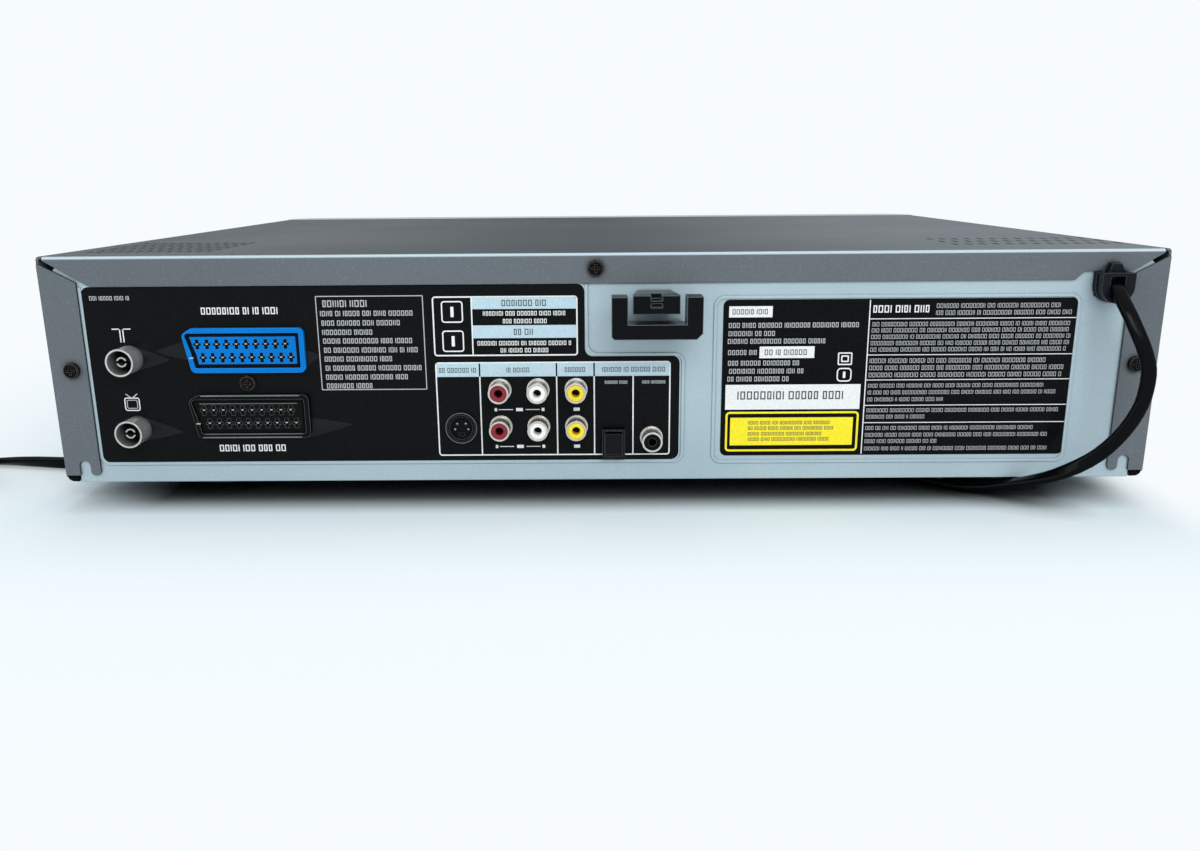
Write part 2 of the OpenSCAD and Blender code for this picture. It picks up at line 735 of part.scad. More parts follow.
module antenna_jacks() color([0.75, 0.74, 0.7])
    for (z = aerial_zs) translate([aerial_x, wall_y, z]) rotate([-90, 0, 0]) {
        long = rear_y + aerial_reach - wall_y;
        difference() {
            cylinder(d = aerial_d, h = long);
            translate([0, 0, -1]) cylinder(d = aerial_d - 2 * aerial_wall, h = long + 2);
        }
        difference() {
            cylinder(d = contact_d, h = long - 2);
            translate([0, 0, 2]) cylinder(d = contact_d - 2 * contact_wall, h = long);
            translate([-4, -0.5, 3]) cube([8, 1, long]);
        }
    }

// ---------- rear sockets ----------
// Outline of a 21-pin socket about its middle, grown by g
function scart_points(g) = let (w = scart_w / 2 + g, h = scart_h / 2 + g)
    [[-w, -h], [-w, h], [w - 3.9 - g / 2, h], [w, h - 2.3 - g / 2], [w - 2.8, -h]];

function lip_points() = let (w = scart_w / 2 - 1.85, h = scart_h / 2 - 1.9)
    [[-w, -h], [-w, h], [w - 0.2, h], [w + 0.8, h - 0.9], [w - 1.1, -0.5], [w - 2.4, -h]];

function insert_points() = let (w = scart_w / 2 - 2.85, h = scart_h / 2 - 3.05)
    [[-w, -h], [-w, h], [w + 0.5, h], [w - 1.2, 0], [w - 1.75, -1.6], [w - 2.3, -h]];

module scart_contacts() {
    for (i = [0:9]) translate([scart_w / 2 - 5.65 - contact_pitch * i, 2.45]) contact();
    for (i = [0:9]) translate([scart_w / 2 - 7.5 - contact_pitch * i, -2.8]) contact();
}
module contact() {
    square([1.4, 3.8], center = true);
    square([2.9, 1], center = true);
}

module scart_socket(i) {
    face = rear_y + scart_reach;
    low = i == 0 ? board_top : scart_mid_z;
    high = i == 0 ? scart_mid_z : scart_zs[1] + scart_h / 2 + 1.5;
    difference() {
        box([scart_x - scart_w / 2 - 1.5, wall_y - 29, low], [scart_x + scart_w / 2 + 1.5, wall_y, high]);
        rod(screw_d + 2 * run_gap, [scart_x, scart_mid_z], wall_y - screw_len, wall_y + 1);
    }
    upright(wall_y, face) translate([scart_x, scart_zs[i]]) difference() {
        polygon(rounded(scart_points(0), 2.2));
        polygon(rounded(lip_points(), 0.6, 3));
    }
    upright(wall_y, face - 0.6) translate([scart_x, scart_zs[i]]) difference() {
        polygon(rounded(insert_points(), 0.5, 3));
        scart_contacts();
    }
}
module scart_blue() color([0, 0.45, 0.9]) scart_socket(1);
module scart_black() color([0.06, 0.06, 0.07]) scart_socket(0);

module phono_shell(at) {
    face = rear_y + phono_reach;
    difference() {
        union() {
            rod(phono_d, at, seat_back, face);
            rod(phono_flange_d, at, skin_y + label_t, skin_y + label_t + 1.2);
        }
        rod(phono_d - 2 * phono_wall, at, seat_back - 1, face + 1);
    }
}

module phono_insert(at) {
    face = rear_y + phono_reach - 0.3;
    difference() {
        rod(phono_d - 2 * phono_wall - 2 * fit_gap, at, seat_back, face);
        rod(phono_hole_d, at, seat_back + 2, face + 1);
    }
}

module jack_shells() color([0.8, 0.79, 0.75]) {
    for (x = phono_x, z = phono_z) phono_shell([x, z]);
    phono_shell(coax_at);
    difference() {
        rod(10.6, svideo_at, seat_back, skin_y + 1);
        rod(9.6, svideo_at, seat_back - 1, skin_y + 2);
        for (s = [-1, 1]) box([svideo_at[0] - 1.2, seat_back + 1, svideo_at[1] + s * 5 - 1.5],
            [svideo_at[0] + 1.2, skin_y + 2, svideo_at[1] + s * 5 + 1.5]);
    }
}

module red_inserts() color([0.65, 0.05, 0.1]) for (z = phono_z) phono_insert([phono_x[2], z]);
module white_inserts() color([0.93, 0.93, 0.9]) for (z = phono_z) phono_insert([phono_x[1], z]);
module yellow_inserts() color([0.95, 0.8, 0.05]) for (z = phono_z) phono_insert([phono_x[0], z]);

module socket_housings() color([0.09, 0.09, 0.1]) {
    difference() {
        box([phono_x[0] - 6.5, socket_back, board_top], [phono_x[2] + 6.5, wall_y, phono_z[1] + 7]);
        for (x = phono_x, z = phono_z) rod(phono_d + 2 * fit_gap, [x, z], seat_back, wall_y + 1);
    }
    difference() {
        box([coax_at[0] - 6, socket_back, board_top], [coax_at[0] + 6, wall_y, coax_at[1] + 6]);
        rod(phono_d + 2 * fit_gap, coax_at, seat_back, wall_y + 1);
    }
    difference() {
        rod(phono_d - 2 * phono_wall - 2 * fit_gap, coax_at, seat_back - 1, rear_y + phono_reach - 0.3);
        rod(phono_hole_d, coax_at, seat_back + 2, rear_y + phono_reach + 1);
    }
    difference() {
        union() {
            box([svideo_at[0] - 7, socket_back, board_top], [svideo_at[0] + 7, wall_y, svideo_at[1] + 7]);
            rod(svideo_d, svideo_at, socket_back, skin_y + 1.4);
        }
        rod(10.6 + 2 * fit_gap, svideo_at, seat_back, skin_y + 2);
    }
    difference() {
        rod(8.6, svideo_at, seat_back - 1, skin_y + 0.4);
        for (s = [-1, 1], h = [[1.7, 1.6], [2.6, -0.7]])
            rod(0.9, [svideo_at[0] + s * h[0], svideo_at[1] + h[1]], skin_y - 4, skin_y + 1);
        box([svideo_at[0] - 1.1, skin_y - 4, svideo_at[1] - 3.4],
            [svideo_at[0] + 1.1, skin_y + 1, svideo_at[1] - 2.2]);
    }
    x = [optical_at[0] - optical_w / 2, optical_at[0] + optical_w / 2];
    difference() {
        union() {
            box([x[0] - 0.8, socket_back, board_top], [x[1] + 0.8, wall_y, optical_at[1] + optical_h + 1]);
            box([x[0], wall_y - 1, optical_at[1]], [x[1], optical_face, optical_at[1] + optical_h]);
        }
        box([x[0] + optical_wall, optical_face - 12, optical_at[1] + optical_wall],
            [x[1] - optical_wall, optical_face + 1, optical_at[1] + optical_h - optical_wall + 0.2]);
        pin(shutter_pin_d + 2 * run_gap, [shutter_y, shutter_z], x[0] + 0.2, x[1] - 0.2);
    }
    rod(2.4, [optical_at[0], optical_at[1] + 4.6], socket_back, optical_face - 11);
}

module optical_shutter() color([0.14, 0.14, 0.15]) {
    box([optical_at[0] - shutter_w / 2, shutter_y - shutter_t / 2, shutter_low],
        [optical_at[0] + shutter_w / 2, shutter_y + shutter_t / 2, shutter_z]);
    pin(shutter_pin_d, [shutter_y, shutter_z], optical_at[0] - optical_w / 2 + 0.4,
        optical_at[0] + optical_w / 2 - 0.4);
}

// ---------- cord ----------
module cable_hook() color([0.05, 0.05, 0.06]) {
    x = [hook_x - hook_w / 2, hook_x + hook_w / 2];
    tip = rear_y + hook_reach;
    base = tip - 9.4;
    block = 8.65;
    top = hook_z + 15.5;
    bar = hook_z + 5.5;
    box([x[0] + hook_arm, skin_y, hook_z + 0.5], [x[1] - hook_arm, base, hook_z + 3.5]);
    upright(base, tip) polygon([
        [x[0] + 2.2, hook_z], [x[0], hook_z + 2.2], [x[0], top], [x[0] + hook_arm, top],
        [x[0] + hook_arm, bar], [x[1] - hook_arm, bar], [x[1] - hook_arm, top],
        [x[1], top], [x[1], hook_z + 1], [x[1] - 1, hook_z]]);
    difference() {
        translate([0, 0, hook_z + 8.6]) linear_extrude(6.8) polygon([
            [hook_x - block + 2.2, skin_y], [hook_x - block, rear_y + 13.5], [hook_x - block, rear_y + 17],
            [hook_x + block, rear_y + 17], [hook_x + block, rear_y + 13.5], [hook_x + block - 2.2, skin_y]]);
        box([hook_x - 2.1, rear_y + 9, hook_z + 13.5], [hook_x + 2.1, rear_y + 18, hook_z + 16]);
        box([hook_x - 2.1, rear_y + 15, hook_z + 11], [hook_x + 2.1, rear_y + 18, hook_z + 12.4]);
    }
}

// U-shaped outline about the bushing's middle
module bushing_outline(r) translate([bushing_x, bushing_z]) intersection() {
    union() {
        circle(r = r);
        translate([-r, 0]) square([2 * r, bushing_top]);
    }
    translate([-r, -r]) square([2 * r, r + bushing_top]);
}

module cord_bushing() color([0.06, 0.06, 0.07]) {
    face = rear_y + bushing_reach;
    difference() {
        union() {
            box([bushing_x - 5.5, wall_y - 8, bushing_z - 4], [bushing_x + 5.5, skin_y, bushing_z + 4]);
            upright(skin_y, rear_y + 1.8) bushing_outline(bushing_r);
            upright(rear_y + 1.8, rear_y + 2.8) bushing_outline(bushing_r - 0.9);
            upright(rear_y + 2.8, face) bushing_outline(bushing_r - 0.2);
            upright(rear_y + 0.5, face - 2) translate([bushing_x, bushing_z + bushing_top - 0.2])
                polygon([[-3.2, 0], [-1.4, 3.6], [2, 3.6], [3.2, 0]]);
        }
        box([bushing_x - 2.35, face - mouth_depth, bushing_z - 4.2],
            [bushing_x + 3.15, face + 1, bushing_z + 4]);
    }
}

// Points along the cord's middle, from the bushing to the coil
cord_low = cord_d / 2;
cord_points = [
    cord_from, cord_from + [0, 2.8, -1.6], [-193.6, 171, 81], [-194.9, 175, 76], [-197.2, 177.5, 69.9],
    [-199.4, 179, 64.4], [-201.1, 180, 59], [-201.4, 181, 54.6], [-200.9, 181.5, 49],
    [-199.9, 181.5, 43.4], [-197, 181.5, 36.8], [-192.7, 181, 30.1], [-187.8, 178.7, 23.4],
    [-182.1, 175.5, 17.9], [-175.8, 171.5, 13.2], [-169.5, 167, 9.9], [-163, 162, 6.8], [-157.2, 157, 4.2],
    [-151, 152, cord_low + 0.1], [-145.5, 147.3, cord_low], [-138.5, 140.6, cord_low],
    [-128, 132, cord_low], [-110, 122, cord_low], [-60, 107, cord_low],
    [0, 100, cord_low], [70, 95, cord_low], [130, 98, cord_low], [165, 103.5, cord_low],
    [185, 106, cord_low], [205, 109.5, cord_low], [225, 111.5, cord_low], [243, 112, cord_low],
    [258, 114, cord_low + 0.8], [270, 115.8, cord_low + 2.1],
    [coil_at[0] - coil_mouth, coil_at[1] - coil_r + cord_low, 5]];

cord_sides = 8;
cord_parts = 3;
function along(p, i, t) = let (
    a = p[max(i - 1, 0)], b = p[i], c = p[i + 1], d = p[min(i + 2, len(p) - 1)]
) 0.5 * (2 * b + (c - a) * t + (2 * a - 5 * b + 4 * c - d) * t * t + (3 * b - a - 3 * c + d) * t * t * t);
cord_line = [for (i = [0:len(cord_points) - 2], k = [0:cord_parts - 1])
    along(cord_points, i, k / cord_parts), cord_points[len(cord_points) - 1]];

function ring_at(p, i, r) = let (
    k = len(p), t = unit(p[min(i + 1, k - 1)] - p[max(i - 1, 0)]),
    side = unit(cross(t, abs(t[2]) > 0.9 ? [0, 1, 0] : [0, 0, 1])), up = cross(side, t)
) [for (j = [0:cord_sides - 1]) p[i] + r * (cos(360 * (j + 0.5) / cord_sides) * side
    + sin(360 * (j + 0.5) / cord_sides) * up)];

module tube(p, r) {
    n = cord_sides;
    points = [for (i = [0:len(p) - 1]) each ring_at(p, i, r)];
    last = (len(p) - 1) * n;
    polyhedron(points, concat(
        [[for (j = [n - 1:-1:0]) j]],
        [[for (j = [0:n - 1]) last + j]],
        [for (i = [0:len(p) - 2], j = [0:n - 1])
            [i * n + j, i * n + (j + 1) % n, (i + 1) * n + (j + 1) % n, (i + 1) * n + j]]));
}

module power_cord() color([0.03, 0.03, 0.03]) tube(cord_line, cord_d / 2);

module cord_coil() color([0.03, 0.03, 0.03]) translate([coil_at[0], coil_at[1], 0]) rotate_extrude()
    round_rect([coil_in, 0], [coil_r, coil_h], 3);

module mains_plug() color([0.03, 0.03, 0.03]) {
    y = coil_at[1] - coil_r + 3;
    x = coil_at[0] + sqrt(pow(coil_r, 2) - pow(coil_r - 6.5, 2)) + 0.4;
    z = 7;
    translate([x, y, z]) rotate([0, 90, 0]) cylinder(d1 = 7, d2 = 9, h = plug_neck_l);
    translate([x + plug_neck_l, y, z]) rotate([90, 0, 90]) linear_extrude(plug_l) polygon(rounded(
        [[-18, -3], [-12, -7], [12, -7], [18, -3], [18, 3], [12, 7], [-12, 7], [-18, 3]], 2, 3));
    for (s = [-1, 1]) translate([x + plug_neck_l + plug_l - 1, y + s * plug_pin_pitch / 2, z])
        rotate([0, 90, 0]) cylinder(d = plug_pin_d, h = plug_pin_l);
}

// ---------- disc drive ----------
module loader_frame() color([0.16, 0.17, 0.18]) translate([drive_x, 0, 0]) {
    difference() {
        union() {
            box([-drive_half, drive_y[0], drive_z], [drive_half, drive_y[1], drive_in_z]);
            for (s = [0, 1]) mirror([s, 0, 0]) {
                box([drive_in, drive_y[0], drive_in_z], [drive_half, drive_y[1], drive_top]);
                box([drive_in - rail_seat, drive_y[0], tray_z - slide_gap - 2],
                    [drive_in, drive_y[1], tray_z - slide_gap]);
                for (y = [drive_y[0], drive_y[0] + 60, drive_y[1] - 14])
                    box([drive_in - 4, y, tray_top + slide_gap],
                        [drive_in, y + 12, tray_top + slide_gap + 1.6]);
            }
            box([-drive_half, drive_y[1] - drive_wall, drive_in_z], [drive_half, drive_y[1], rod_z + 4]);
            box([-drive_half, drive_y[0], drive_in_z], [drive_half, drive_y[0] + drive_wall, rod_z]);
            for (x = [-rod_x, rod_x], y = [rod_y[0], rod_y[1] - end_t])
                box([x - 5, y, drive_in_z], [x + 5, y + end_t, rod_z + 4]);
            for (y = [rod_y[0], rod_y[1] - end_t])
                box([screw_x - 5, y, drive_in_z], [screw_x + 5, y + end_t, rod_z + 4]);
            post(motor_d, [0, disc_y], drive_in_z, motor_z[0]);
            post(gear_post_d, [gear_x - drive_x, gear_y], drive_in_z, tray_z - 1);
        }
        for (x = [-rod_x, rod_x]) rod(rod_d + 2 * fit_gap, [x, rod_z], rod_y[0] + 1, rod_y[1] - 1);
        rod(lead_screw_d + 2 * run_gap, [screw_x, rod_z], rod_y[0] + 1, rod_y[1] - 1);
    }
}

module sled_rails() color([0.8, 0.8, 0.82]) for (x = [-rod_x, rod_x])
    rod(rod_d, [drive_x + x, rod_z], rod_y[0] + 1, rod_y[1] - 1);

module sled_screw() color([0.85, 0.78, 0.55]) difference() {
    rod(lead_screw_d, [drive_x + screw_x, rod_z], rod_y[0] + 1 + lift_gap, rod_y[1] - 1 - lift_gap);
    translate([drive_x + screw_x, rod_y[0] + end_t + 4, rod_z]) rotate([-90, 0, 0]) rotate_extrude()
        for (i = [0:32]) translate([lead_screw_d / 2 - 0.6, 3 * i]) square([2, 1.4]);
}

module laser_sled() color([0.25, 0.26, 0.28]) translate([drive_x, 0, 0]) {
    difference() {
        box([-rod_x - 5, sled_y[0], sled_z[0]], [rod_x + 5, sled_y[1], sled_z[1]]);
        rod(rod_d + 2 * run_gap, [rod_x, rod_z], sled_y[0] - 1, sled_y[1] + 1);
        box([-rod_x - 6, sled_y[0] - 1, rod_z - rod_d / 2 - run_gap],
            [-rod_x + rod_d / 2 + 0.5, sled_y[1] + 1, rod_z + rod_d / 2 + run_gap]);
        box([-14, sled_y[0] + 20, rod_z + 1], [14, sled_y[1] - 4, sled_z[1] + 1]);
    }
    box([rod_x, sled_y[0] + 8, sled_z[1]], [screw_x + 4, sled_y[0] + 16, sled_z[1] + 2]);
    box([-9, sled_y[0] + 1, sled_z[1]], [9, sled_y[0] + 18, tray_z - 2]);
    post(7, [0, sled_y[0] + 9], tray_z - 2, tray_z + 0.6);
}

module turntable() color([0.2, 0.2, 0.22]) translate([drive_x, disc_y, 0]) {
    translate([0, 0, table_z]) cylinder(d = table_d, h = 3);
    translate([0, 0, table_z + 3]) cylinder(d1 = 14.9, d2 = 11, h = 2.5);
    translate([0, 0, motor_z[0] + 2]) cylinder(d = spindle_d, h = table_z - motor_z[0] - 2);
    translate([0, 0, motor_z[1] + lift_gap]) cylinder(d = rotor_d, h = table_z - motor_z[1] - lift_gap);
}

module clamp_bridge() color([0.7, 0.72, 0.73]) translate([drive_x, 0, drive_top]) difference() {
    box([-drive_half, disc_y - bridge_w / 2, 0], [drive_half, disc_y + bridge_w / 2, bridge_t]);
    translate([0, disc_y, -1]) cylinder(d = clamp_neck_d + 1.2, h = bridge_t + 2);
    for (s = [-1, 1]) translate([s * window_x, disc_y, -1]) linear_extrude(bridge_t + 2)
        square(bridge_window, center = true);
}

module disc_clamp() color([0.12, 0.12, 0.13]) translate([drive_x, disc_y, drive_top]) {
    cylinder(d = clamp_neck_d, h = bridge_t + lift_gap);
    translate([0, 0, -1]) cylinder(d = clamp_neck_d, h = 1);
    translate([0, 0, -3]) cylinder(d = clamp_rim_d, h = 2);
    translate([0, 0, bridge_t + lift_gap]) cylinder(d = clamp_rim_d, h = 1.6);
}

module rack_outline() {
    m = tooth_module;
    translate([rack_x - rack_back, rack_y[0]]) square([rack_back, rack_y[1] - rack_y[0]]);
    teeth = floor((rack_y[1] - rack_y[0]) / tooth_pitch / 2) - 1;
    for (i = [-2:2 * teeth - 2]) translate([rack_x - 0.2, gear_y + (i + 0.5) * tooth_pitch])
        if (gear_y + (i + 1) * tooth_pitch < rack_y[1] && gear_y + i * tooth_pitch > rack_y[0])
            polygon([[0, -0.62 * m - 0.2], [2.2 * m, -0.24 * m], [2.2 * m, 0.24 * m], [0, 0.62 * m + 0.2]]);
}

module disc_tray() color([0.14, 0.14, 0.15]) {
    translate([drive_x, 0, 0]) difference() {
        union() {
            box([-tray_half, tray_y[0], tray_z], [tray_half, tray_y[1], tray_top]);
            for (s = [0, 1]) mirror([s, 0, 0])
                box([tray_half - rail_w, tray_y[1] - 1, tray_z], [tray_half, rail_end, tray_top]);
        }
        translate([0, disc_y, tray_top - 2.5]) cylinder(d = disc_d + 2, h = 4, $fn = 96);
        translate([0, disc_y, tray_top - 3.6]) cylinder(d = 82, h = 4, $fn = 64);
        translate([0, disc_y, tray_z - 1]) cylinder(r = window_half, h = tray_t + 2);
        box([-window_half, disc_y, tray_z - 1], [window_half, tray_y[1] + 1, tray_top + 1]);
    }
    translate([0, 0, tray_z - rack_h]) linear_extrude(rack_h) rack_outline();
}

module tray_fascia() color([0.62, 0.65, 0.68]) difference() {
    box([drive_x - fascia_half, front_y, fascia_z[0]], [drive_x + fascia_half, tray_y[0], fascia_z[1]]);
    box([drive_x - 20, front_y - 1, fascia_z[0] + 2], [drive_x + 20, front_y + 0.8, fascia_z[0] + 3.2]);
}

module tray_gear() color([0.9, 0.9, 0.86]) translate([gear_x, gear_y, 0]) {
    m = tooth_module;
    difference() {
        union() {
            translate([0, 0, tray_z - rack_h + 0.4]) linear_extrude(rack_h - 1.4) {
                circle(r = gear_r - 1.3 * m);
                for (i = [0:gear_teeth - 1]) rotate(180 + 360 * i / gear_teeth) polygon([
                    [gear_r - 1.6 * m, -0.9 * m], [gear_r - 0.2 * m, -0.6 * m], [gear_r + m, -0.2 * m],
                    [gear_r + m, 0.2 * m], [gear_r - 0.2 * m, 0.6 * m], [gear_r - 1.6 * m, 0.9 * m]]);
            }
            translate([0, 0, drive_in_z + lift_gap])
                cylinder(d = gear_post_d + 4, h = tray_z - rack_h + 0.4 - drive_in_z - lift_gap);
        }
        translate([0, 0, drive_z]) cylinder(d = gear_post_d + 2 * run_gap, h = tray_z - drive_z);
    }
}

module drive_motors() color([0.72, 0.72, 0.7]) {
    difference() {
        post(motor_d, [drive_x, disc_y], motor_z[0], motor_z[1]);
        post(spindle_d + 2 * run_gap, [drive_x, disc_y], motor_z[0] + 2 - lift_gap, motor_z[1] + 1);
    }
    tray_motor_x = drive_x + drive_in - 24;
    post(20, [tray_motor_x, gear_y + 2], drive_in_z, drive_in_z + 16);
    load_y = deck_y[1] - 20;
    load_z = deck_top + 12;
    pin(22, [load_y, load_z], deck_x - 92, deck_x - 62);
    box([deck_x - 88, load_y - 8, deck_top], [deck_x - 66, load_y + 8, load_z - 4]);
}

// ---------- cassette deck ----------
module deck_plate() color([0.74, 0.75, 0.76]) {
    difference() {
        union() {
            box([deck_x - deck_half, deck_y[0], deck_z], [deck_x + deck_half, deck_y[1], deck_top]);
            post(capstan_d + 5, [capstan_x, capstan_y], deck_z, deck_top + 10);
            post(pinch_post_d, pinch_at, deck_z, arm_z + arm_t + 4);
        }
        post(capstan_d + 2 * run_gap, [capstan_x, capstan_y], deck_z - 1, deck_top + 11);
        for (s = [-1, 1]) {
            post(reel_shaft_d + 2 * run_gap, [deck_x + s * reel_pitch / 2, reel_y],
                deck_z - 1, deck_top + 1);
            translate([deck_x + s * guide_x, guide_y + guide_travel / 2, deck_z - 1])
                linear_extrude(deck_t + 2)
                slot(guide_pin_d + 2 * slide_gap, guide_travel + guide_pin_d + 2 * slide_gap);
        }
        post(drum_shaft_d + 2 * run_gap, [deck_x, drum_y], deck_z - 1, deck_top + 1);
    }
}

module lower_drum() color([0.8, 0.8, 0.81]) difference() {
    union() {
        post(drum_d, [deck_x, drum_y], deck_top, drum_split - lift_gap);
        box([deck_x - drum_foot[0], drum_y - drum_foot[1], deck_top],
            [deck_x + drum_foot[0], drum_y + drum_d / 2 + 5, deck_top + drum_foot[2]]);
    }
    post(drum_shaft_d + 2 * run_gap, [deck_x, drum_y], deck_top - 1, drum_split + 1);
}

module upper_drum() color([0.88, 0.88, 0.9]) difference() {
    union() {
        post(drum_d, [deck_x, drum_y], drum_split, drum_top - 3);
        post(drum_d - 22, [deck_x, drum_y], drum_top - 3, drum_top);
        post(drum_shaft_d, [deck_x, drum_y], deck_z - 2, drum_split + 1);
    }
    for (a = [0, 180]) translate([deck_x, drum_y, drum_split]) rotate([0, 0, a])
        box([drum_d / 2 - 2, -3, -1], [drum_d / 2 + 1, 3, 3]);
}

module capstan() color([0.85, 0.86, 0.88]) {
    post(capstan_d, [capstan_x, capstan_y], flywheel_z + 1, capstan_top);
    post(flywheel_d, [capstan_x, capstan_y], flywheel_z, flywheel_z + flywheel_t);
}

module pinch_arm() color([0.6, 0.6, 0.58]) {
    difference() {
        union() {
            post(pinch_post_d + 5, pinch_at, deck_top + lift_gap, arm_z + arm_t);
            translate([pinch_at[0], pinch_at[1], arm_z]) rotate([0, 0, 180 - pinch_swing])
                translate([0, -3, 0]) cube([pinch_len, 6, arm_t]);
            post(7, roller_at, arm_z, arm_z + arm_t);
            post(roller_pin_d, roller_at, arm_z, arm_z + arm_t + 15.5);
        }
        post(pinch_post_d + 2 * run_gap, pinch_at, deck_top, arm_z + arm_t + 1);
    }
}

module pinch_roller() color([0.07, 0.07, 0.07]) difference() {
    post(roller_d, roller_at, arm_z + arm_t + lift_gap, arm_z + arm_t + 14);
    post(roller_pin_d + 2 * run_gap, roller_at, arm_z, arm_z + arm_t + 15);
}

module reel(x) {
    post(reel_d, [x, reel_y], deck_top + 1, deck_top + 4);
    post(12, [x, reel_y], deck_top + lift_gap, deck_top + 8);
    post(8, [x, reel_y], deck_top + 8, deck_top + 18);
    for (a = [90, 210, 330]) translate([x, reel_y, deck_top + 8]) rotate([0, 0, a])
        translate([3, -0.9, 0]) cube([2.6, 1.8, 9]);
    post(reel_shaft_d, [x, reel_y], deck_z - 3, deck_top + 1);
}
module supply_reel() color([0.15, 0.16, 0.18]) reel(deck_x - reel_pitch / 2);
module takeup_reel() color([0.15, 0.16, 0.18]) reel(deck_x + reel_pitch / 2);

module carriage_frame() color([0.7, 0.71, 0.72]) translate([deck_x, 0, 0]) {
    for (s = [0, 1]) mirror([s, 0, 0]) {
        box([frame_in, frame_y[0], deck_top], [frame_half, frame_y[1], frame_top]);
        box([ledge_seat, frame_y[0], runner_low - slide_gap - 1.2],
            [frame_in + 0.5, frame_y[1], runner_low - slide_gap]);
    }
    for (y = [frame_y[0], frame_y[1] - 10])
        box([-frame_half, y, frame_top - 1.2], [frame_half, y + 10, frame_top]);
}

module carriage_slide() color([0.3, 0.31, 0.33]) translate([deck_x, 0, 0]) {
    difference() {
        for (s = [0, 1]) mirror([s, 0, 0])
            box([runner_in, holder_y, runner_low], [runner_half, holder_y + cassette_d, runner_top]);
        for (y = pin_ys) translate([-runner_half - 1, y, pin_z - load_drop / 2]) rotate([90, 0, 90])
            linear_extrude(2 * runner_half + 2) slot(pin_d + 0.4, load_drop + pin_d + 0.4);
    }
    box([-runner_half, holder_y + cassette_d - 6, runner_top - 1.4],
        [runner_half, holder_y + cassette_d, runner_top]);
}

module cassette_holder() color([0.76, 0.77, 0.78]) translate([deck_x, 0, 0]) {
    low = cassette_z - holder_t;
    for (s = [0, 1]) mirror([s, 0, 0]) {
        box([holder_half - holder_t, holder_y, low], [holder_half, holder_y + cassette_d, holder_top]);
        box([holder_half - ledge_w, holder_y, low], [holder_half, holder_y + cassette_d, cassette_z]);
        for (y = pin_ys) pin(pin_d, [y, pin_z], holder_half - 0.5, ledge_seat - run_gap);
    }
    box([-holder_half, holder_y + 8, holder_top - holder_t],
        [holder_half, holder_y + cassette_d - 14, holder_top]);
}

module tape_guides() color([0.82, 0.82, 0.84]) for (s = [-1, 1]) {
    at = [deck_x + s * guide_x, guide_y];
    box([at[0] - 5, at[1] - 5, deck_top + lift_gap], [at[0] + 5, at[1] + 5, deck_top + 4]);
    post(guide_pin_d, at, deck_z - 1.8, deck_top + 1);
    post(guide_pin_d + 3, at, deck_z - 1.8, deck_z - lift_gap);
    post(5.5, at, deck_top + 3, guide_top - 2);
    post(7, at, guide_top - 2, guide_top);
}

module tape_heads() color([0.66, 0.66, 0.68]) {
    for (at = [[deck_x - guide_x - 18, drum_y - 16], [capstan_x + 8, drum_y + 12]]) {
        box([at[0] - 7, at[1] - 6, deck_top], [at[0] + 7, at[1] + 6, deck_top + 3]);
        box([at[0] - 5, at[1] - 4, deck_top + 3], [at[0] + 5, at[1] + 4, deck_top + 26]);
    }
}

module cassette_door() color([0.62, 0.65, 0.68]) {
    box([deck_x - door_half, front_y, door_z[0]], [deck_x + door_half, front_y + door_t, door_z[1]]);
    for (s = [-1, 1]) {
        x = [deck_x + s * (door_half - 4), deck_x + s * door_half];
        box([min(x), front_y + door_t - 0.5, door_axis[1] - door_pin_d / 2],
            [max(x), door_axis[0], door_axis[1] + door_pin_d / 2]);
        pin(door_pin_d, door_axis, s > 0 ? min(x) : min(x) - 3.5, s > 0 ? max(x) + 3.5 : max(x));
    }
}

bottom_chassis();
rear_panel();
top_cover();
front_panel();
display_window();
feet();
case_screws();
cable_hook();
cord_bushing();
main_board();
power_board();
transformer();
capacitors();
heatsink();
front_board();
tuner_can();
antenna_jacks();
scart_blue();
scart_black();
socket_housings();
jack_shells();
red_inserts();
white_inserts();
yellow_inserts();
optical_shutter();
power_cord();
cord_coil();
mains_plug();
loader_frame();
clamp_bridge();
disc_clamp();
disc_tray();
tray_fascia();
tray_gear();
turntable();
sled_rails();
laser_sled();
sled_screw();
deck_plate();
lower_drum();
upper_drum();
capstan();
pinch_arm();
pinch_roller();
supply_reel();
takeup_reel();
carriage_frame();
carriage_slide();
cassette_holder();
tape_guides();
tape_heads();
cassette_door();
drive_motors();
button("power");  // power_button
button("eject");  // eject_button
button("rewind");  // rewind_button
button("play");  // play_button
button("forward");  // forward_button
button("stop");  // stop_button
button("open");  // open_button
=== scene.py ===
"""Dresses the player's frame with finishes, labels and print, socket metal, the mains cord and a
clock. Shapes are in mm, with the rear facing +Y; camera, lights and finishes are in metres.
"""
import json
import math
import random

import bmesh
import bpy
from mathutils import Matrix, Vector, geometry


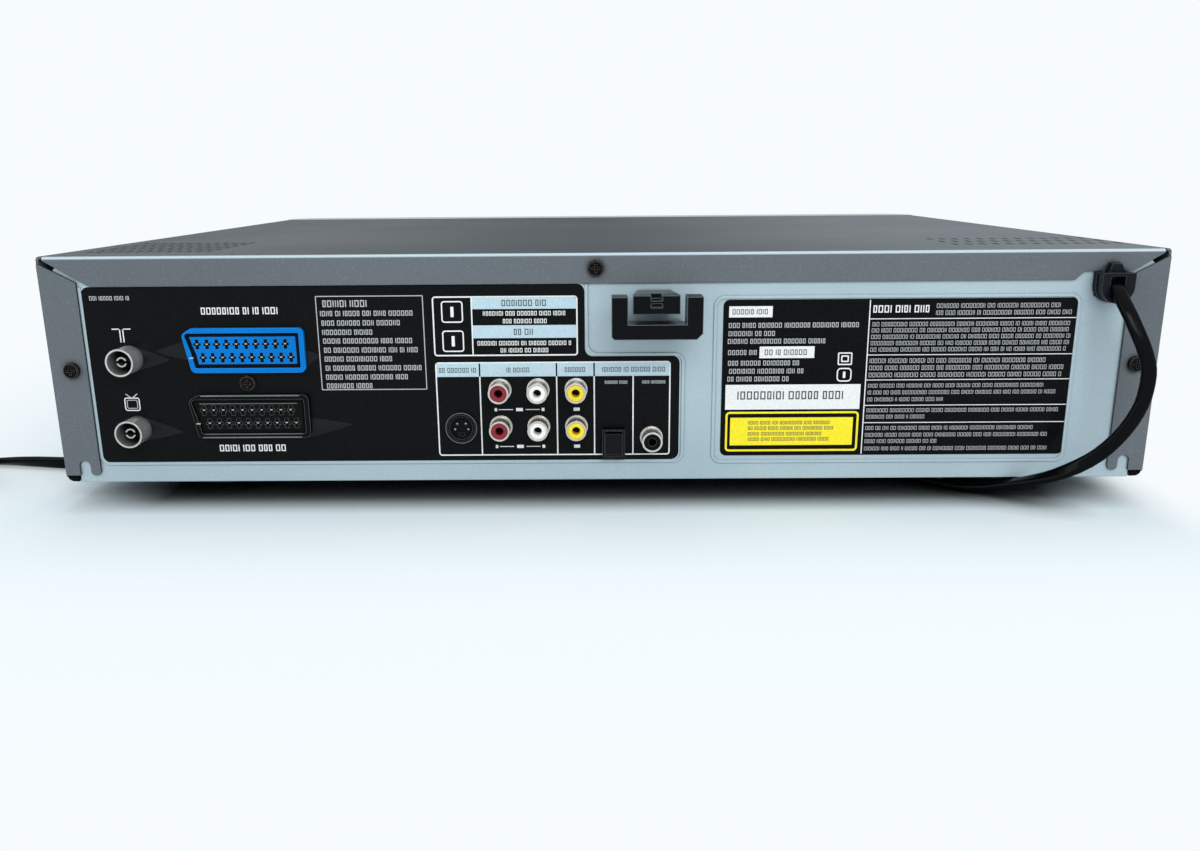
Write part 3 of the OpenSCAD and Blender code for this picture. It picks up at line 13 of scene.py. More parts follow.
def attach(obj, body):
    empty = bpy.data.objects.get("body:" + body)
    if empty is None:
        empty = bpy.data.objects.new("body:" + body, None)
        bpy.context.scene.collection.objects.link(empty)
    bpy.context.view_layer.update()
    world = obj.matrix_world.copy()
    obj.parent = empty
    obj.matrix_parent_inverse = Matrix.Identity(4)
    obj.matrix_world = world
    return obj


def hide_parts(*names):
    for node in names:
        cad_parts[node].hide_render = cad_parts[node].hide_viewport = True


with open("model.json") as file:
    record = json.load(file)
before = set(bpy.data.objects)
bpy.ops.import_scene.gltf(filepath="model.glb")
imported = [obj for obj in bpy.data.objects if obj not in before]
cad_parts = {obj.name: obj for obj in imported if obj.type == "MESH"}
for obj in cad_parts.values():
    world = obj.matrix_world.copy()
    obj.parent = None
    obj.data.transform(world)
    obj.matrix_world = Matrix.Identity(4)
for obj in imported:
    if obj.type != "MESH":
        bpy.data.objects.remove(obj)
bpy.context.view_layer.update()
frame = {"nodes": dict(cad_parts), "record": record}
MM = 0.001
CASE = next(body for body, nodes in frame["record"]["behaviour"]["bodies"].items()
            if "top_cover" in nodes)


def mm(*values):
    return Vector(values) * MM


# ---------- camera, floor and light ----------
CAMERA_AT = (0.0011, 0.5366, 0.1275)
YAW, PITCH, ROLL = math.radians(0.527), math.radians(14.375), math.radians(0.4675)


def aim_camera():
    ahead, right, up = Vector((0, -1, 0)), Vector((-1, 0, 0)), Vector((0, 0, 1))
    turn = Matrix.Rotation(YAW, 3, up)
    ahead, right = turn @ ahead, turn @ right
    nod = Matrix.Rotation(-PITCH, 3, right)
    ahead, up = nod @ ahead, nod @ up
    lean = Matrix.Rotation(ROLL, 3, ahead)
    right, up = lean @ right, lean @ up
    data = bpy.data.cameras.new("view")
    data.sensor_width = 36
    data.lens = 29.41
    data.shift_x = 0.0083
    data.shift_y = 0.0006
    data.clip_start = 0.01
    camera = bpy.data.objects.new("view", data)
    bpy.context.collection.objects.link(camera)
    axes = Matrix((right, up, -ahead)).transposed().to_4x4()
    camera.matrix_world = Matrix.Translation(CAMERA_AT) @ axes
    bpy.context.scene.camera = camera


def add(tree, kind, inputs=None, **settings):
    """Adds a shader node; inputs are values or the outputs they are joined to."""
    node = tree.nodes.new(kind)
    for name, value in settings.items():
        setattr(node, name, value)
    for socket, value in (inputs or {}).items():
        if isinstance(value, bpy.types.NodeSocket):
            tree.links.new(value, node.inputs[socket])
        else:
            node.inputs[socket].default_value = value
    return node


def ramp(tree, value, low, high, first=0.0, last=1.0, **settings):
    """Maps low to first and high to last, and holds them beyond."""
    return add(tree, "ShaderNodeMapRange", {
        "Value": value, "From Min": low, "From Max": high, "To Min": first, "To Max": last},
        **settings).outputs[0]


def combine(tree, operation, a, b, kind="ShaderNodeMath"):
    return add(tree, kind, {0: a, 1: b}, operation=operation).outputs[0]


def light(name, at, toward, size, power):
    data = bpy.data.lights.new(name, "AREA")
    data.shape = "RECTANGLE"
    data.size, data.size_y = size
    data.energy = power
    lamp = bpy.data.objects.new(name, data)
    bpy.context.collection.objects.link(lamp)
    lamp.location = at
    lamp.rotation_euler = (Vector(toward) - Vector(at)).to_track_quat("-Z", "Y").to_euler()


PALE = (0.93, 0.965, 0.985, 1)                  # backdrop and far floor, as seen
WORLD_LIGHT = (0.93, 0.97, 1, 1)
FLOOR_NEAR, FLOOR_BOUNCE = (0.79, 0.885, 0.925), (0.8, 0.84, 0.86, 1)
FLOOR_RADIUS, FLOOR_DROP = 9, 0.0001            # just below z = 0
CASE_HALF = (0.216, 0.161, 1)                   # half the case's width and depth
SHADE_FROM, SHADE_TO = 0.008, 0.2               # the floor fades to PALE this far from the case
CONTACT = 0.018                                 # reach of the darkest shadow, painted into the floor's colour


def seen_directly(tree):
    """1 for rays from the camera and for those by way of gloss or glass."""
    path = add(tree, "ShaderNodeLightPath").outputs
    direct = combine(tree, "MAXIMUM", path["Is Camera Ray"], path["Is Glossy Ray"])
    return combine(tree, "MAXIMUM", direct, path["Is Transmission Ray"])


def set_world():
    world = bpy.data.worlds.new("studio")
    bpy.context.scene.world = world
    world.use_nodes = True
    tree = world.node_tree
    tree.nodes.clear()
    seen = add(tree, "ShaderNodeBackground", {"Color": PALE, "Strength": 1.0})
    lit = add(tree, "ShaderNodeBackground", {"Color": WORLD_LIGHT, "Strength": 0.62})
    mix = add(tree, "ShaderNodeMixShader",
              {0: seen_directly(tree), 1: lit.outputs[0], 2: seen.outputs[0]})
    add(tree, "ShaderNodeOutputWorld", {"Surface": mix.outputs[0]})


def lay_floor():
    """A plain floor, pale far off, with a soft shadow round the case that is deepest below it; near
    the case occlusion paints that shadow into its colour, and past the case's right end a pool of
    light is painted.
    """
    mesh = bpy.data.meshes.new("floor")
    form = bmesh.new()
    bmesh.ops.create_circle(form, cap_ends=True, segments=96, radius=FLOOR_RADIUS)
    form.to_mesh(mesh)
    form.free()
    floor = bpy.data.objects.new("floor", mesh)
    bpy.context.collection.objects.link(floor)
    floor.location.z = -FLOOR_DROP
    material = bpy.data.materials.new("floor")
    material.use_nodes = True
    tree = material.node_tree
    tree.nodes.clear()
    # Pale far from the case, and a painted pool of light everywhere past its right end
    coords = add(tree, "ShaderNodeTexCoord").outputs["Object"]
    place = add(tree, "ShaderNodeVectorMath", {0: coords}, operation="ABSOLUTE").outputs[0]
    beyond = combine(tree, "SUBTRACT", place, CASE_HALF, "ShaderNodeVectorMath")
    outside = combine(tree, "MAXIMUM", beyond, (0, 0, 0), "ShaderNodeVectorMath")
    away = add(tree, "ShaderNodeVectorMath", {0: outside}, operation="LENGTH").outputs["Value"]
    far = combine(tree, "POWER", ramp(tree, away, SHADE_FROM, SHADE_TO), 0.85)
    across = add(tree, "ShaderNodeSeparateXYZ", {0: coords}).outputs["X"]
    painted_light_side = ramp(tree, across, -0.2, -0.235, interpolation_type="SMOOTHSTEP")
    share = combine(tree, "MAXIMUM", far, painted_light_side)
    # Painted shadow: occlusion darkens the floor's colour along the case, but less so near its ends
    contact = add(tree, "ShaderNodeAmbientOcclusion", {"Distance": CONTACT}, samples=8)
    dark = combine(tree, "POWER", contact.outputs["AO"], 2.4)
    aside = add(tree, "ShaderNodeSeparateXYZ", {0: place}).outputs["X"]
    ends = ramp(tree, aside, 0.18, CASE_HALF[0], 0.0, 0.75)
    painted_shadow = add(tree, "ShaderNodeMix", {0: ends, 2: dark, 3: 1.0})
    near = add(tree, "ShaderNodeVectorMath", {0: FLOOR_NEAR}, operation="SCALE")
    tree.links.new(painted_shadow.outputs[0], near.inputs["Scale"])
    # Both are only for what is seen: the light that bounces off the floor is plain
    matte = add(tree, "ShaderNodeBsdfDiffuse", {"Color": near.outputs[0]})
    glow = add(tree, "ShaderNodeEmission", {"Color": PALE, "Strength": 1.0})
    both = add(tree, "ShaderNodeMixShader", {0: share, 1: matte.outputs[0], 2: glow.outputs[0]})
    plain = add(tree, "ShaderNodeBsdfDiffuse", {"Color": FLOOR_BOUNCE})
    mix = add(tree, "ShaderNodeMixShader",
              {0: seen_directly(tree), 1: plain.outputs[0], 2: both.outputs[0]})
    add(tree, "ShaderNodeOutputMaterial", {"Surface": mix.outputs[0]})
    mesh.materials.append(material)


bpy.context.scene.view_settings.view_transform = "Standard"
aim_camera()
set_world()
lay_floor()
light("key", (-0.35, 1.5, 0.95), (0, 0.1, 0.05), (1.2, 0.7), 15)
light("left_fill", (1.5, 0.9, 0.8), (0, 0.1, 0.05), (0.9, 0.9), 5)
light("over", (0.1, -0.5, 1.5), (0, 0, 0.1), (1.2, 1.0), 6)


# ---------- materials ----------
RAYS = 6            # samples of each occlusion and bevel node
FINE = 0.00001      # relief of smooth plastic and metal


class Finish:
    """A Principled material whose colour, roughness and relief are varied by noise."""

    def __init__(self, name, colour, rough, metallic=0.0, coat=0.0, specular=0.5, edge=0.0):
        self.material = bpy.data.materials.new(name)
        self.material.use_nodes = True
        self.tree = self.material.node_tree
        self.shader = self.tree.nodes["Principled BSDF"]
        self.shader.inputs["Metallic"].default_value = metallic
        self.shader.inputs["Coat Weight"].default_value = coat
        self.shader.inputs["Coat Roughness"].default_value = 0.06
        self.shader.inputs["Specular IOR Level"].default_value = specular
        self.place = add(self.tree, "ShaderNodeTexCoord").outputs["Object"]
        rgb = add(self.tree, "ShaderNodeRGB")
        rgb.outputs[0].default_value = (*colour, 1)
        self.colour = rgb.outputs[0]
        self.rough = rough
        self.rough_out = None
        self.normal = None
        if edge:
            self.normal = self.add("ShaderNodeBevel", {"Radius": edge}, samples=RAYS).outputs[0]

    def add(self, kind, inputs=None, **settings):
        return add(self.tree, kind, inputs, **settings)

    def noise(self, scale, detail=2.0, rough=0.5, stretch=None, low=0.35, high=0.65):
        """A mask from 0 to 1 of cloudy noise, finer with scale."""
        place = self.place
        if stretch:
            place = self.add("ShaderNodeMapping", {"Vector": place, "Scale": stretch}).outputs[0]
        pattern = self.add("ShaderNodeTexNoise", {
            "Vector": place, "Scale": scale, "Detail": detail, "Roughness": rough})
        return self.spread(pattern.outputs["Fac"], low, high)

    def spread(self, value, low, high, first=0.0, last=1.0, **settings):
        return ramp(self.tree, value, low, high, first, last, **settings)

    def openness(self, distance):
        """1 in the open, less in gaps and corners of about that size."""
        node = self.add("ShaderNodeAmbientOcclusion", {"Distance": distance}, samples=RAYS)
        return node.outputs["AO"]

    def tint(self, mask, colour, strength):
        """Mixes another colour in where the mask is 1."""
        share = self.spread(mask, 0, 1, 0, strength)
        mix = self.add("ShaderNodeMix", data_type="RGBA")
        self.tree.links.new(share, mix.inputs[0])
        self.tree.links.new(self.colour, mix.inputs[6])
        mix.inputs[7].default_value = (*colour, 1)
        self.colour = mix.outputs[2]
        return self

    def shade(self, mask, low, high):
        """Multiplies the colour by low where the mask is 0 and by high where it is 1."""
        level = self.spread(mask, 0, 1, low, high)
        scaled = self.add("ShaderNodeVectorMath", {0: self.colour}, operation="SCALE")
        self.tree.links.new(level, scaled.inputs["Scale"])
        self.colour = scaled.outputs[0]
        return self

    def gloss(self, mask, change):
        """Changes the roughness, down where the mask is 0 and up where it is 1."""
        self.rough_out = self.spread(mask, 0, 1, self.rough - change, self.rough + change)
        return self

    def shine(self, mask, low, high):
        """Sets the specular level to low where the mask is 0 and to high where it is 1."""
        level = self.spread(mask, 0, 1, low, high)
        self.tree.links.new(level, self.shader.inputs["Specular IOR Level"])
        return self

    def hollow(self, distance, low, specular):
        """Painted shade: darkens recesses and narrow gaps and takes their gloss away."""
        share = self.spread(self.openness(distance), 0.4, 0.9)
        return self.shine(share, low * specular, specular).shade(share, low, 1)

    def rim(self, colour, strength):
        """Another colour along the edges that the Bevel node rounds, as a painted highlight."""
        flat = self.add("ShaderNodeNewGeometry").outputs["Normal"]
        turned = self.add("ShaderNodeVectorMath", {0: flat, 1: self.normal},
                          operation="DOT_PRODUCT").outputs["Value"]
        return self.tint(self.spread(turned, 0.98, 0.8), colour, strength)

    def relief(self, height, depth):
        """Bump whose full height is depth."""
        bump = self.add("ShaderNodeBump", {"Height": height, "Distance": depth, "Strength": 1.0})
        if self.normal is not None:
            self.tree.links.new(self.normal, bump.inputs["Normal"])
        self.normal = bump.outputs[0]
        return self

    def done(self):
        links = self.tree.links
        links.new(self.colour, self.shader.inputs["Base Color"])
        if self.rough_out is None:
            self.shader.inputs["Roughness"].default_value = self.rough
        else:
            links.new(self.rough_out, self.shader.inputs["Roughness"])
        if self.normal is not None:
            links.new(self.normal, self.shader.inputs["Normal"])
        return self.material


def speckled(name, colour, depth=0.00002, fold=None):
    """Paint with fine bright and dark flakes and faint dust. With a colour for the rear fold it is
    the cover's, with a painted highlight along that fold, painted shade on the middle of its top
    and painted shade in narrow gaps."""
    specular = 0.18
    f = Finish(name, colour, 0.6, specular=specular, edge=0.0003)
    fine = f.noise(3000, detail=1.0, low=0.3, high=0.7)
    f.shade(fine, 0.86, 1.14)
    flake = tuple(min(1, c * 1.9) for c in colour)
    f.tint(f.noise(1700, detail=0.0, low=0.68, high=0.74), flake, 0.3)
    cloud = f.noise(9, detail=4.0)
    f.shade(cloud, 0.96, 1.05).gloss(cloud, 0.05)
    if fold:
        normal = f.add("ShaderNodeTexCoord").outputs["Normal"]
        facing = f.add("ShaderNodeSeparateXYZ", {0: normal}).outputs
        # Painted highlight along the rear fold, where the normal turns from +Z to +Y
        painted_fold_highlight = combine(f.tree, "MULTIPLY", facing["Y"], facing["Z"])
        f.tint(f.spread(painted_fold_highlight, 0.15, 0.42), fold, 0.9)
        # Painted shade on the top, darkest in the middle, less to the left, least to the right; the
        # top is less glossy there too
        across = f.add("ShaderNodeSeparateXYZ", {0: f.place}).outputs["X"]
        right = f.spread(across, -0.19, 0.02, 0.1, 1.0, interpolation_type="SMOOTHSTEP")
        left = f.spread(across, -0.02, 0.17, 1.0, 0.62, interpolation_type="SMOOTHSTEP")
        middle = combine(f.tree, "MULTIPLY", right, left)
        painted_top_shade = combine(f.tree, "MULTIPLY", f.spread(facing["Z"], 0.8, 0.98), middle)
        f.shade(painted_top_shade, 1.0, 0.42).shine(painted_top_shade, specular, 0.04)
        # Painted shade in narrow gaps
        f.shade(f.spread(f.openness(0.0025), 0.4, 0.95), 0.12, 1.0)
    return f.relief(fine, depth).done()


def moulded(name, colour, rough=0.42, depth=0.00003, specular=0.5, change=0.12, edge=0.0003,
            rim=None, hollow=None):
    """Moulded plastic with a fine grain and a slight change of gloss, a painted highlight on its
    rims and painted shade in its recesses.
    """
    f = Finish(name, colour, rough, specular=specular, edge=edge)
    if rim:
        f.rim(rim, 0.7)
    if hollow:
        f.hollow(hollow, 0.25, specular)
    cloud = f.noise(30, detail=3.0)
    fine = f.noise(1800, detail=1.0)
    f.shade(cloud, 1 - change, 1 + change).shade(fine, 0.94, 1.06).gloss(cloud, 0.07)
    return f.relief(fine, depth).done()


def plated(name, colour, rough=0.3, streak=(40, 1200, 40), metallic=1.0, hollow=None):
    """Rolled or turned metal, with fine streaks along one direction and painted shade in its
    recesses.
    """
    f = Finish(name, colour, rough, metallic=metallic, edge=0.0002)
    if hollow:
        f.hollow(hollow, 0.1, 0.5)
    streaks = f.noise(1.0, detail=3.0, stretch=streak, low=0.3, high=0.7)
    cloud = f.noise(25, detail=3.0)
    f.shade(streaks, 0.94, 1.06).shade(cloud, 0.94, 1.04).gloss(cloud, 0.08)
    return f.relief(streaks, FINE).done()


def galvanised(name, colour):
    """Pale coated steel sheet with faint spangle and smudges, and painted shade in narrow gaps and
    corners.
    """
    f = Finish(name, colour, 0.42, metallic=0.15, specular=0.5, edge=0.0005)
    # Painted shade in narrow gaps, such as along the cover's flanges
    f.shade(f.spread(f.openness(0.0015), 0.4, 0.85), 0.45, 1.0)
    smudge = f.noise(14, detail=5.0, rough=0.6)
    fine = f.noise(900, detail=1.0)
    f.shade(smudge, 0.95, 1.04).shade(fine, 0.97, 1.03).gloss(smudge, 0.08)
    return f.relief(fine, FINE).done()


def circuit(name, colour, track):
    """Lacquered board with a net of tracks and solder pads."""
    f = Finish(name, colour, 0.35, coat=0.3)
    dark = (0, 0, 0, 1)
    lines = f.add("ShaderNodeTexBrick", {
        "Vector": f.place, "Scale": 120.0, "Mortar Size": 0.06, "Color1": dark, "Color2": dark,
        "Mortar": (1, 1, 1, 1)})
    f.tint(lines.outputs["Fac"], track, 0.7)
    pads = f.add("ShaderNodeTexVoronoi", {"Vector": f.place, "Scale": 260})
    f.tint(f.spread(pads.outputs["Distance"], 0.16, 0.12), (0.75, 0.76, 0.74), 0.8)
    f.shade(f.noise(60), 0.85, 1.15)
    return f.relief(lines.outputs["Fac"], 0.00003).done()


def glossy_label(name, colour, wrinkles=0.00006, specular=0.05):
    """Printed film, lightly wrinkled."""
    f = Finish(name, colour, 0.24, specular=specular)
    large = f.noise(45, detail=3.0, stretch=(1.0, 1.0, 2.2))
    small = f.noise(420, detail=2.0)
    dust = f.noise(3200, detail=1.0, low=0.68, high=0.74)
    f.tint(dust, (0.3, 0.31, 0.32), 0.06)
    f.gloss(large, 0.1)
    f.relief(large, wrinkles)
    return f.relief(small, wrinkles * 0.12).done()


def printed(name, colour, rough=0.4):
    """Ink with slightly uneven cover."""
    f = Finish(name, colour, rough)
    f.shade(f.noise(2200, detail=1.0), 0.9, 1.04)
    return f.relief(f.noise(1500), 0.000005).done()


def rubbery(name, colour, rough=0.38):
    """Smooth cable sheath with faint scuffs."""
    f = Finish(name, colour, rough, specular=0.07)
    scuff = f.noise(70, detail=4.0, rough=0.65)
    fine = f.noise(1400, detail=1.0)
    f.shade(scuff, 0.8, 1.25).gloss(scuff, 0.05)
    return f.relief(fine, 0.000005).done()


def smoked(name):
    """Dark glossy window with faint smears."""
    f = Finish(name, (0.012, 0.014, 0.02), 0.08, coat=1.0)
    smear = f.noise(35, detail=4.0)
    f.gloss(smear, 0.04)
    return f.tint(smear, (0.03, 0.035, 0.05), 0.5).done()


BLACK = (0.012, 0.013, 0.015)
DEEP_BLACK = (0.002, 0.0025, 0.003)
BARE_BLACK = (0.002, 0.002, 0.002)
# rim is the colour of a painted highlight along rounded edges, hollow the reach of painted shade in
# recesses, and the cover's fold the colour of a painted highlight along its rear fold
SOCKET = {"rough": 0.2, "depth": FINE, "specular": 0.08, "edge": 0.0004, "hollow": 0.002}
finishes = {
    "top_cover": speckled("speckled_paint", (0.112, 0.13, 0.144), fold=(0.52, 0.64, 0.7)),
    "rear_panel": galvanised("rear_sheet", (0.37, 0.475, 0.525)),
    "bottom_chassis": plated("zinc_sheet", (0.66, 0.68, 0.7), 0.42, (60, 60, 60)),
    "front_panel": speckled("silver_moulding", (0.42, 0.44, 0.47), FINE),
    "display_window": smoked("smoked_window"),
    "feet": moulded("foot_rubber", (0.02, 0.02, 0.022), 0.6),
    "case_screws": moulded(
        "black_oxide", (0.0015, 0.0014, 0.0013), 0.2, depth=FINE, specular=0.08, edge=0.00015,
        rim=(0.4, 0.36, 0.33)),
    "cable_hook": moulded(
        "hook_plastic", (0.002, 0.0028, 0.004), 0.2, depth=FINE, specular=0.08, edge=0.0005,
        rim=(0.3, 0.36, 0.39)),
    "cord_bushing": moulded(
        "bushing_plastic", (0.005, 0.007, 0.0105), 0.24, depth=FINE, specular=0.1, edge=0.0005,
        rim=(0.09, 0.11, 0.13), hollow=0.002),
    "main_board": circuit("green_board", (0.02, 0.16, 0.06), (0.05, 0.3, 0.1)),
    "power_board": circuit("tan_board", (0.33, 0.2, 0.07), (0.5, 0.36, 0.16)),
    "transformer": moulded("ferrite", (0.1, 0.075, 0.05), 0.5),
    "capacitors": moulded("sleeve", (0.02, 0.035, 0.12), 0.25),
    "heatsink": plated("heatsink_alloy", (0.6, 0.61, 0.63), 0.4),
    "antenna_jacks": plated(
        "nickel", (0.53, 0.54, 0.53), 0.3, (500, 60, 500), metallic=0.6, hollow=0.005),
    "scart_blue": moulded(
        "blue_plastic", (0.0003, 0.165, 0.56), 0.25, specular=0.06, change=0.05, edge=0.0004,
        rim=(0.05, 0.42, 0.9), hollow=0.0015),
    "scart_black": moulded("socket_black", DEEP_BLACK, rim=(0.22, 0.24, 0.24), **SOCKET),
    "socket_housings": moulded("housing_black", DEEP_BLACK, rim=(0.17, 0.18, 0.18), **SOCKET),
    "jack_shells": plated(
        "shell_nickel", (0.6, 0.58, 0.53), 0.2, (500, 60, 500), metallic=0.75),
    "red_inserts": moulded("red_plastic", (0.22, 0.004, 0.014), 0.3, change=0.06),
    "white_inserts": moulded("white_plastic", (0.82, 0.82, 0.79), 0.32, change=0.04),
    "yellow_inserts": moulded("yellow_plastic", (0.84, 0.64, 0.012), 0.3, change=0.05),
    "optical_shutter": moulded(
        "shutter_black", (0.003, 0.003, 0.004), 0.25, specular=0.12, edge=0.0004,
        rim=(0.2, 0.21, 0.22)),
    "power_cord": rubbery("cord_sheath", (0.001, 0.0016, 0.0022), 0.13),
    "mains_plug": moulded("plug_black", BLACK, 0.35),
    "loader_frame": moulded("frame_black", (0.025, 0.026, 0.03), 0.5),
    "disc_tray": moulded("tray_grey", (0.03, 0.031, 0.034), 0.45),
    "tray_gear": moulded("acetal", (0.75, 0.74, 0.68), 0.4, change=0.04),
    "sled_screw": moulded("cream_plastic", (0.66, 0.55, 0.32), 0.4, change=0.04),
    "upper_drum": plated("polished_alloy", (0.78, 0.78, 0.8), 0.16, (30, 30, 2500)),
    "pinch_roller": rubbery("roller_rubber", (0.02, 0.02, 0.02), 0.6),
    "supply_reel": moulded("reel_plastic", (0.03, 0.032, 0.038), 0.4),
    "front_button": moulded("button_silver", (0.55, 0.57, 0.6), 0.3, change=0.04),
    "steel": plated("bright_steel", (0.62, 0.63, 0.64), 0.32),
}
LIKE = {
    "front_panel": ("tray_fascia", "cassette_door"),
    "main_board": ("front_board",),
    "power_cord": ("cord_coil",),
    "supply_reel": ("disc_clamp", "turntable", "takeup_reel"),
    "loader_frame": ("laser_sled", "carriage_slide"),
    "upper_drum": ("lower_drum",),
    "bottom_chassis": (
        "clamp_bridge", "deck_plate", "carriage_frame", "cassette_holder", "tuner_can"),
}
SAME = {name: source for source, names in LIKE.items() for name in names}
SHARP = math.radians(32)

for name, node in frame["nodes"].items():
    source = "front_button" if name.endswith("_button") else SAME.get(name, name)
    node.data.materials.clear()
    node.data.materials.append(finishes.get(source, finishes["steel"]))
    node.data.shade_smooth()
    node.data.set_sharp_from_angle(angle=SHARP)


# ---------- shapes ----------
PANEL_Y = 160.0     # face of the rear panel
FRONT_Y = -182.0    # plane of the clock, behind the display window
FILM = 0.2          # thickness of the socket label
THIN_FILM = 0.12    # thickness of the rating label
INK = 0.03          # thickness of print
RULE = 0.5          # width of most printed lines


def piece(name, form, material, body=CASE, smooth=0.0):
    """Turns a bmesh into an object that rides on a body. Smooth is the angle in degrees up to which
    its edges are shaded soft."""
    bmesh.ops.recalc_face_normals(form, faces=form.faces)
    mesh = bpy.data.meshes.new(name)
    form.to_mesh(mesh)
    form.free()
    mesh.materials.append(material)
    if smooth:
        mesh.shade_smooth()
        mesh.set_sharp_from_angle(angle=math.radians(smooth))
    made = bpy.data.objects.new(name, mesh)
    bpy.context.collection.objects.link(made)
    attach(made, body)
    return made


def block(form, low, high):
    corners = [form.verts.new(mm(x, y, z)) for x in (low[0], high[0]) for y in (low[1], high[1])
               for z in (low[2], high[2])]
    for face in (
            (0, 1, 3, 2), (4, 6, 7, 5), (0, 4, 5, 1), (2, 3, 7, 6), (0, 2, 6, 4), (1, 5, 7, 3)):
        form.faces.new([corners[i] for i in face])


def rect(x0, x1, z0, z1):
    return [(x0, z0), (x1, z0), (x1, z1), (x0, z1)]


def rounded(outline, radius, steps=5):
    """Rounds the corners of an outline in x and z."""
    points = []
    for i, corner in enumerate(outline):
        here = Vector(corner)
        back = (Vector(outline[i - 1]) - here).normalized()
        on = (Vector(outline[(i + 1) % len(outline)]) - here).normalized()
        half = back.angle(on) / 2
        middle = here + (back + on).normalized() * radius / math.sin(half)
        start = here + back * radius / math.tan(half) - middle
        end = here + on * radius / math.tan(half) - middle
        turn = math.atan2(start.x * end.y - start.y * end.x, start.dot(end))
        for k in range(steps + 1):
            points.append(tuple(middle + Matrix.Rotation(turn * k / steps, 2) @ start))
    return points


def arc(x, z, radius, angles):
    return [(x + radius * math.cos(angle), z + radius * math.sin(angle)) for angle in angles]


def circle(x, z, radius, sides=28):
    return arc(x, z, radius, [2 * math.pi * i / sides for i in range(sides)])


def moved(outline, x, z):
    return [(x + dx, z + dz) for dx, dz in outline]


def plate(form, outline, y0, y1, hole=None):
    """Adds a closed plate with an outline in x and z, and one hole if it is given."""
    loops = [outline, hole] if hole else [outline]
    sides = [[[form.verts.new(mm(x, y, z)) for x, z in loop] for loop in loops] for y in (y0, y1)]
    for side in sides:
        if hole:
            corners = side[0] + side[1]
            flat = [[Vector((x, z, 0)) for x, z in loop] for loop in loops]
            for triangle in geometry.tessellate_polygon(flat):
                form.faces.new([corners[i] for i in triangle])
        else:
            form.faces.new(side[0])
    for back, face in zip(*sides):
        for i in range(len(back)):
            form.faces.new((back[i - 1], back[i], face[i], face[i - 1]))


def band(form, outer, inner, y0, y1):
    """Adds a closed frame between two outlines with the same number of points."""
    rows = [[form.verts.new(mm(x, y, z)) for x, z in line]
            for line, y in ((outer, y0), (outer, y1), (inner, y1), (inner, y0))]
    for a, b in zip(rows, rows[1:] + rows[:1]):
        for i in range(len(a)):
            j = (i + 1) % len(a)
            form.faces.new((a[i], a[j], b[j], b[i]))


def ruled_box(form, x0, x1, z0, z1, width, radius, y):
    """A thin printed line round a box; its corners are rounded."""
    x0, x1 = min(x0, x1), max(x0, x1)
    outer = rounded(rect(x0, x1, z0, z1), radius)
    inner = rounded(rect(x0 + width, x1 - width, z0 + width, z1 - width), max(0.05, radius - width))
    band(form, outer, inner, y, y + INK)


def bar(form, x0, x1, z0, z1, y):
    block(form, (min(x0, x1), y, z0), (max(x0, x1), y + INK, z1))


WORD_SIGNS = (2, 9)                             # fewest and most signs in a word
SIGN_WIDTHS = (0.5, 0.58, 0.62)                 # of the boxes, as shares of their height
SIGN_GAP, WORD_GAP, SHORTEST = 0.2, 0.36, 0.6   # as shares of the height too


def blank_words(form, rows, height, y, chance, weight=0.15):
    """Rows of hollow boxes and strokes in place of words. A row is its left end as one faces the
    panel, its right end, and its middle's height."""
    low, high, line = -height / 2, height / 2, weight * height
    for left, right, z in rows:
        x = left
        while x - SHORTEST * height > right:
            for _ in range(chance.randint(*WORD_SIGNS)):
                wide = height * chance.choice((weight, *SIGN_WIDTHS))
                if x - wide < right:
                    break
                bar(form, x, x - line, z + low, z + high, y)
                if wide > line:
                    bar(form, x - wide + line, x - wide, z + low, z + high, y)
                    bar(form, x - line, x - wide + line, z + high - line, z + high, y)
                    bar(form, x - line, x - wide + line, z + low, z + low + line, y)
                x -= wide + SIGN_GAP * height
            x -= WORD_GAP * height


# ---------- labels on the rear panel ----------
# The numbers place plain boxes and strokes. They are measured on the panel: x grows to the photo's
# left, and z is the height above the floor.
white_ink = printed("white_ink", (0.78, 0.8, 0.8))
soft_ink = printed("soft_white_ink", (0.44, 0.46, 0.47))
blue_ink = printed("pale_blue_ink", (0.45, 0.61, 0.69))
dark_ink = printed("dark_ink", (0.045, 0.05, 0.055))
yellow_ink = printed("yellow_ink", (0.9, 0.76, 0.004))
label_film = glossy_label("socket_label_film", (0.004, 0.0048, 0.0052))
fold_film = glossy_label("lifted_label_film", (0.004, 0.0045, 0.005), 0.00003, specular=0.18)
rating_film = glossy_label("rating_label_film", (0.003, 0.0035, 0.004), 0.00001)

LABEL_X, LABEL_Z = (-30.6, 200.1), (17.3, 87.3)
STEP_X, STEP_Z = 6.3, 59.2                      # inner corner of the L-shaped socket label
SHUTTER_HOLE = rect(-9.25, -0.25, 18.85, 30.45)


def label_outline(out):
    """The socket label's outline, moved outward."""
    right, left, low, high = LABEL_X[0] - out, LABEL_X[1] + out, LABEL_Z[0] - out, LABEL_Z[1] + out
    return rounded([(right, low), (left, low), (left, high), (STEP_X - out, high),
                    (STEP_X - out, STEP_Z + out), (right, STEP_Z + out)], 3)


socket_label = bmesh.new()
plate(socket_label, label_outline(0), PANEL_Y, PANEL_Y + FILM, hole=SHUTTER_HOLE)
piece("socket_label", socket_label, label_film)


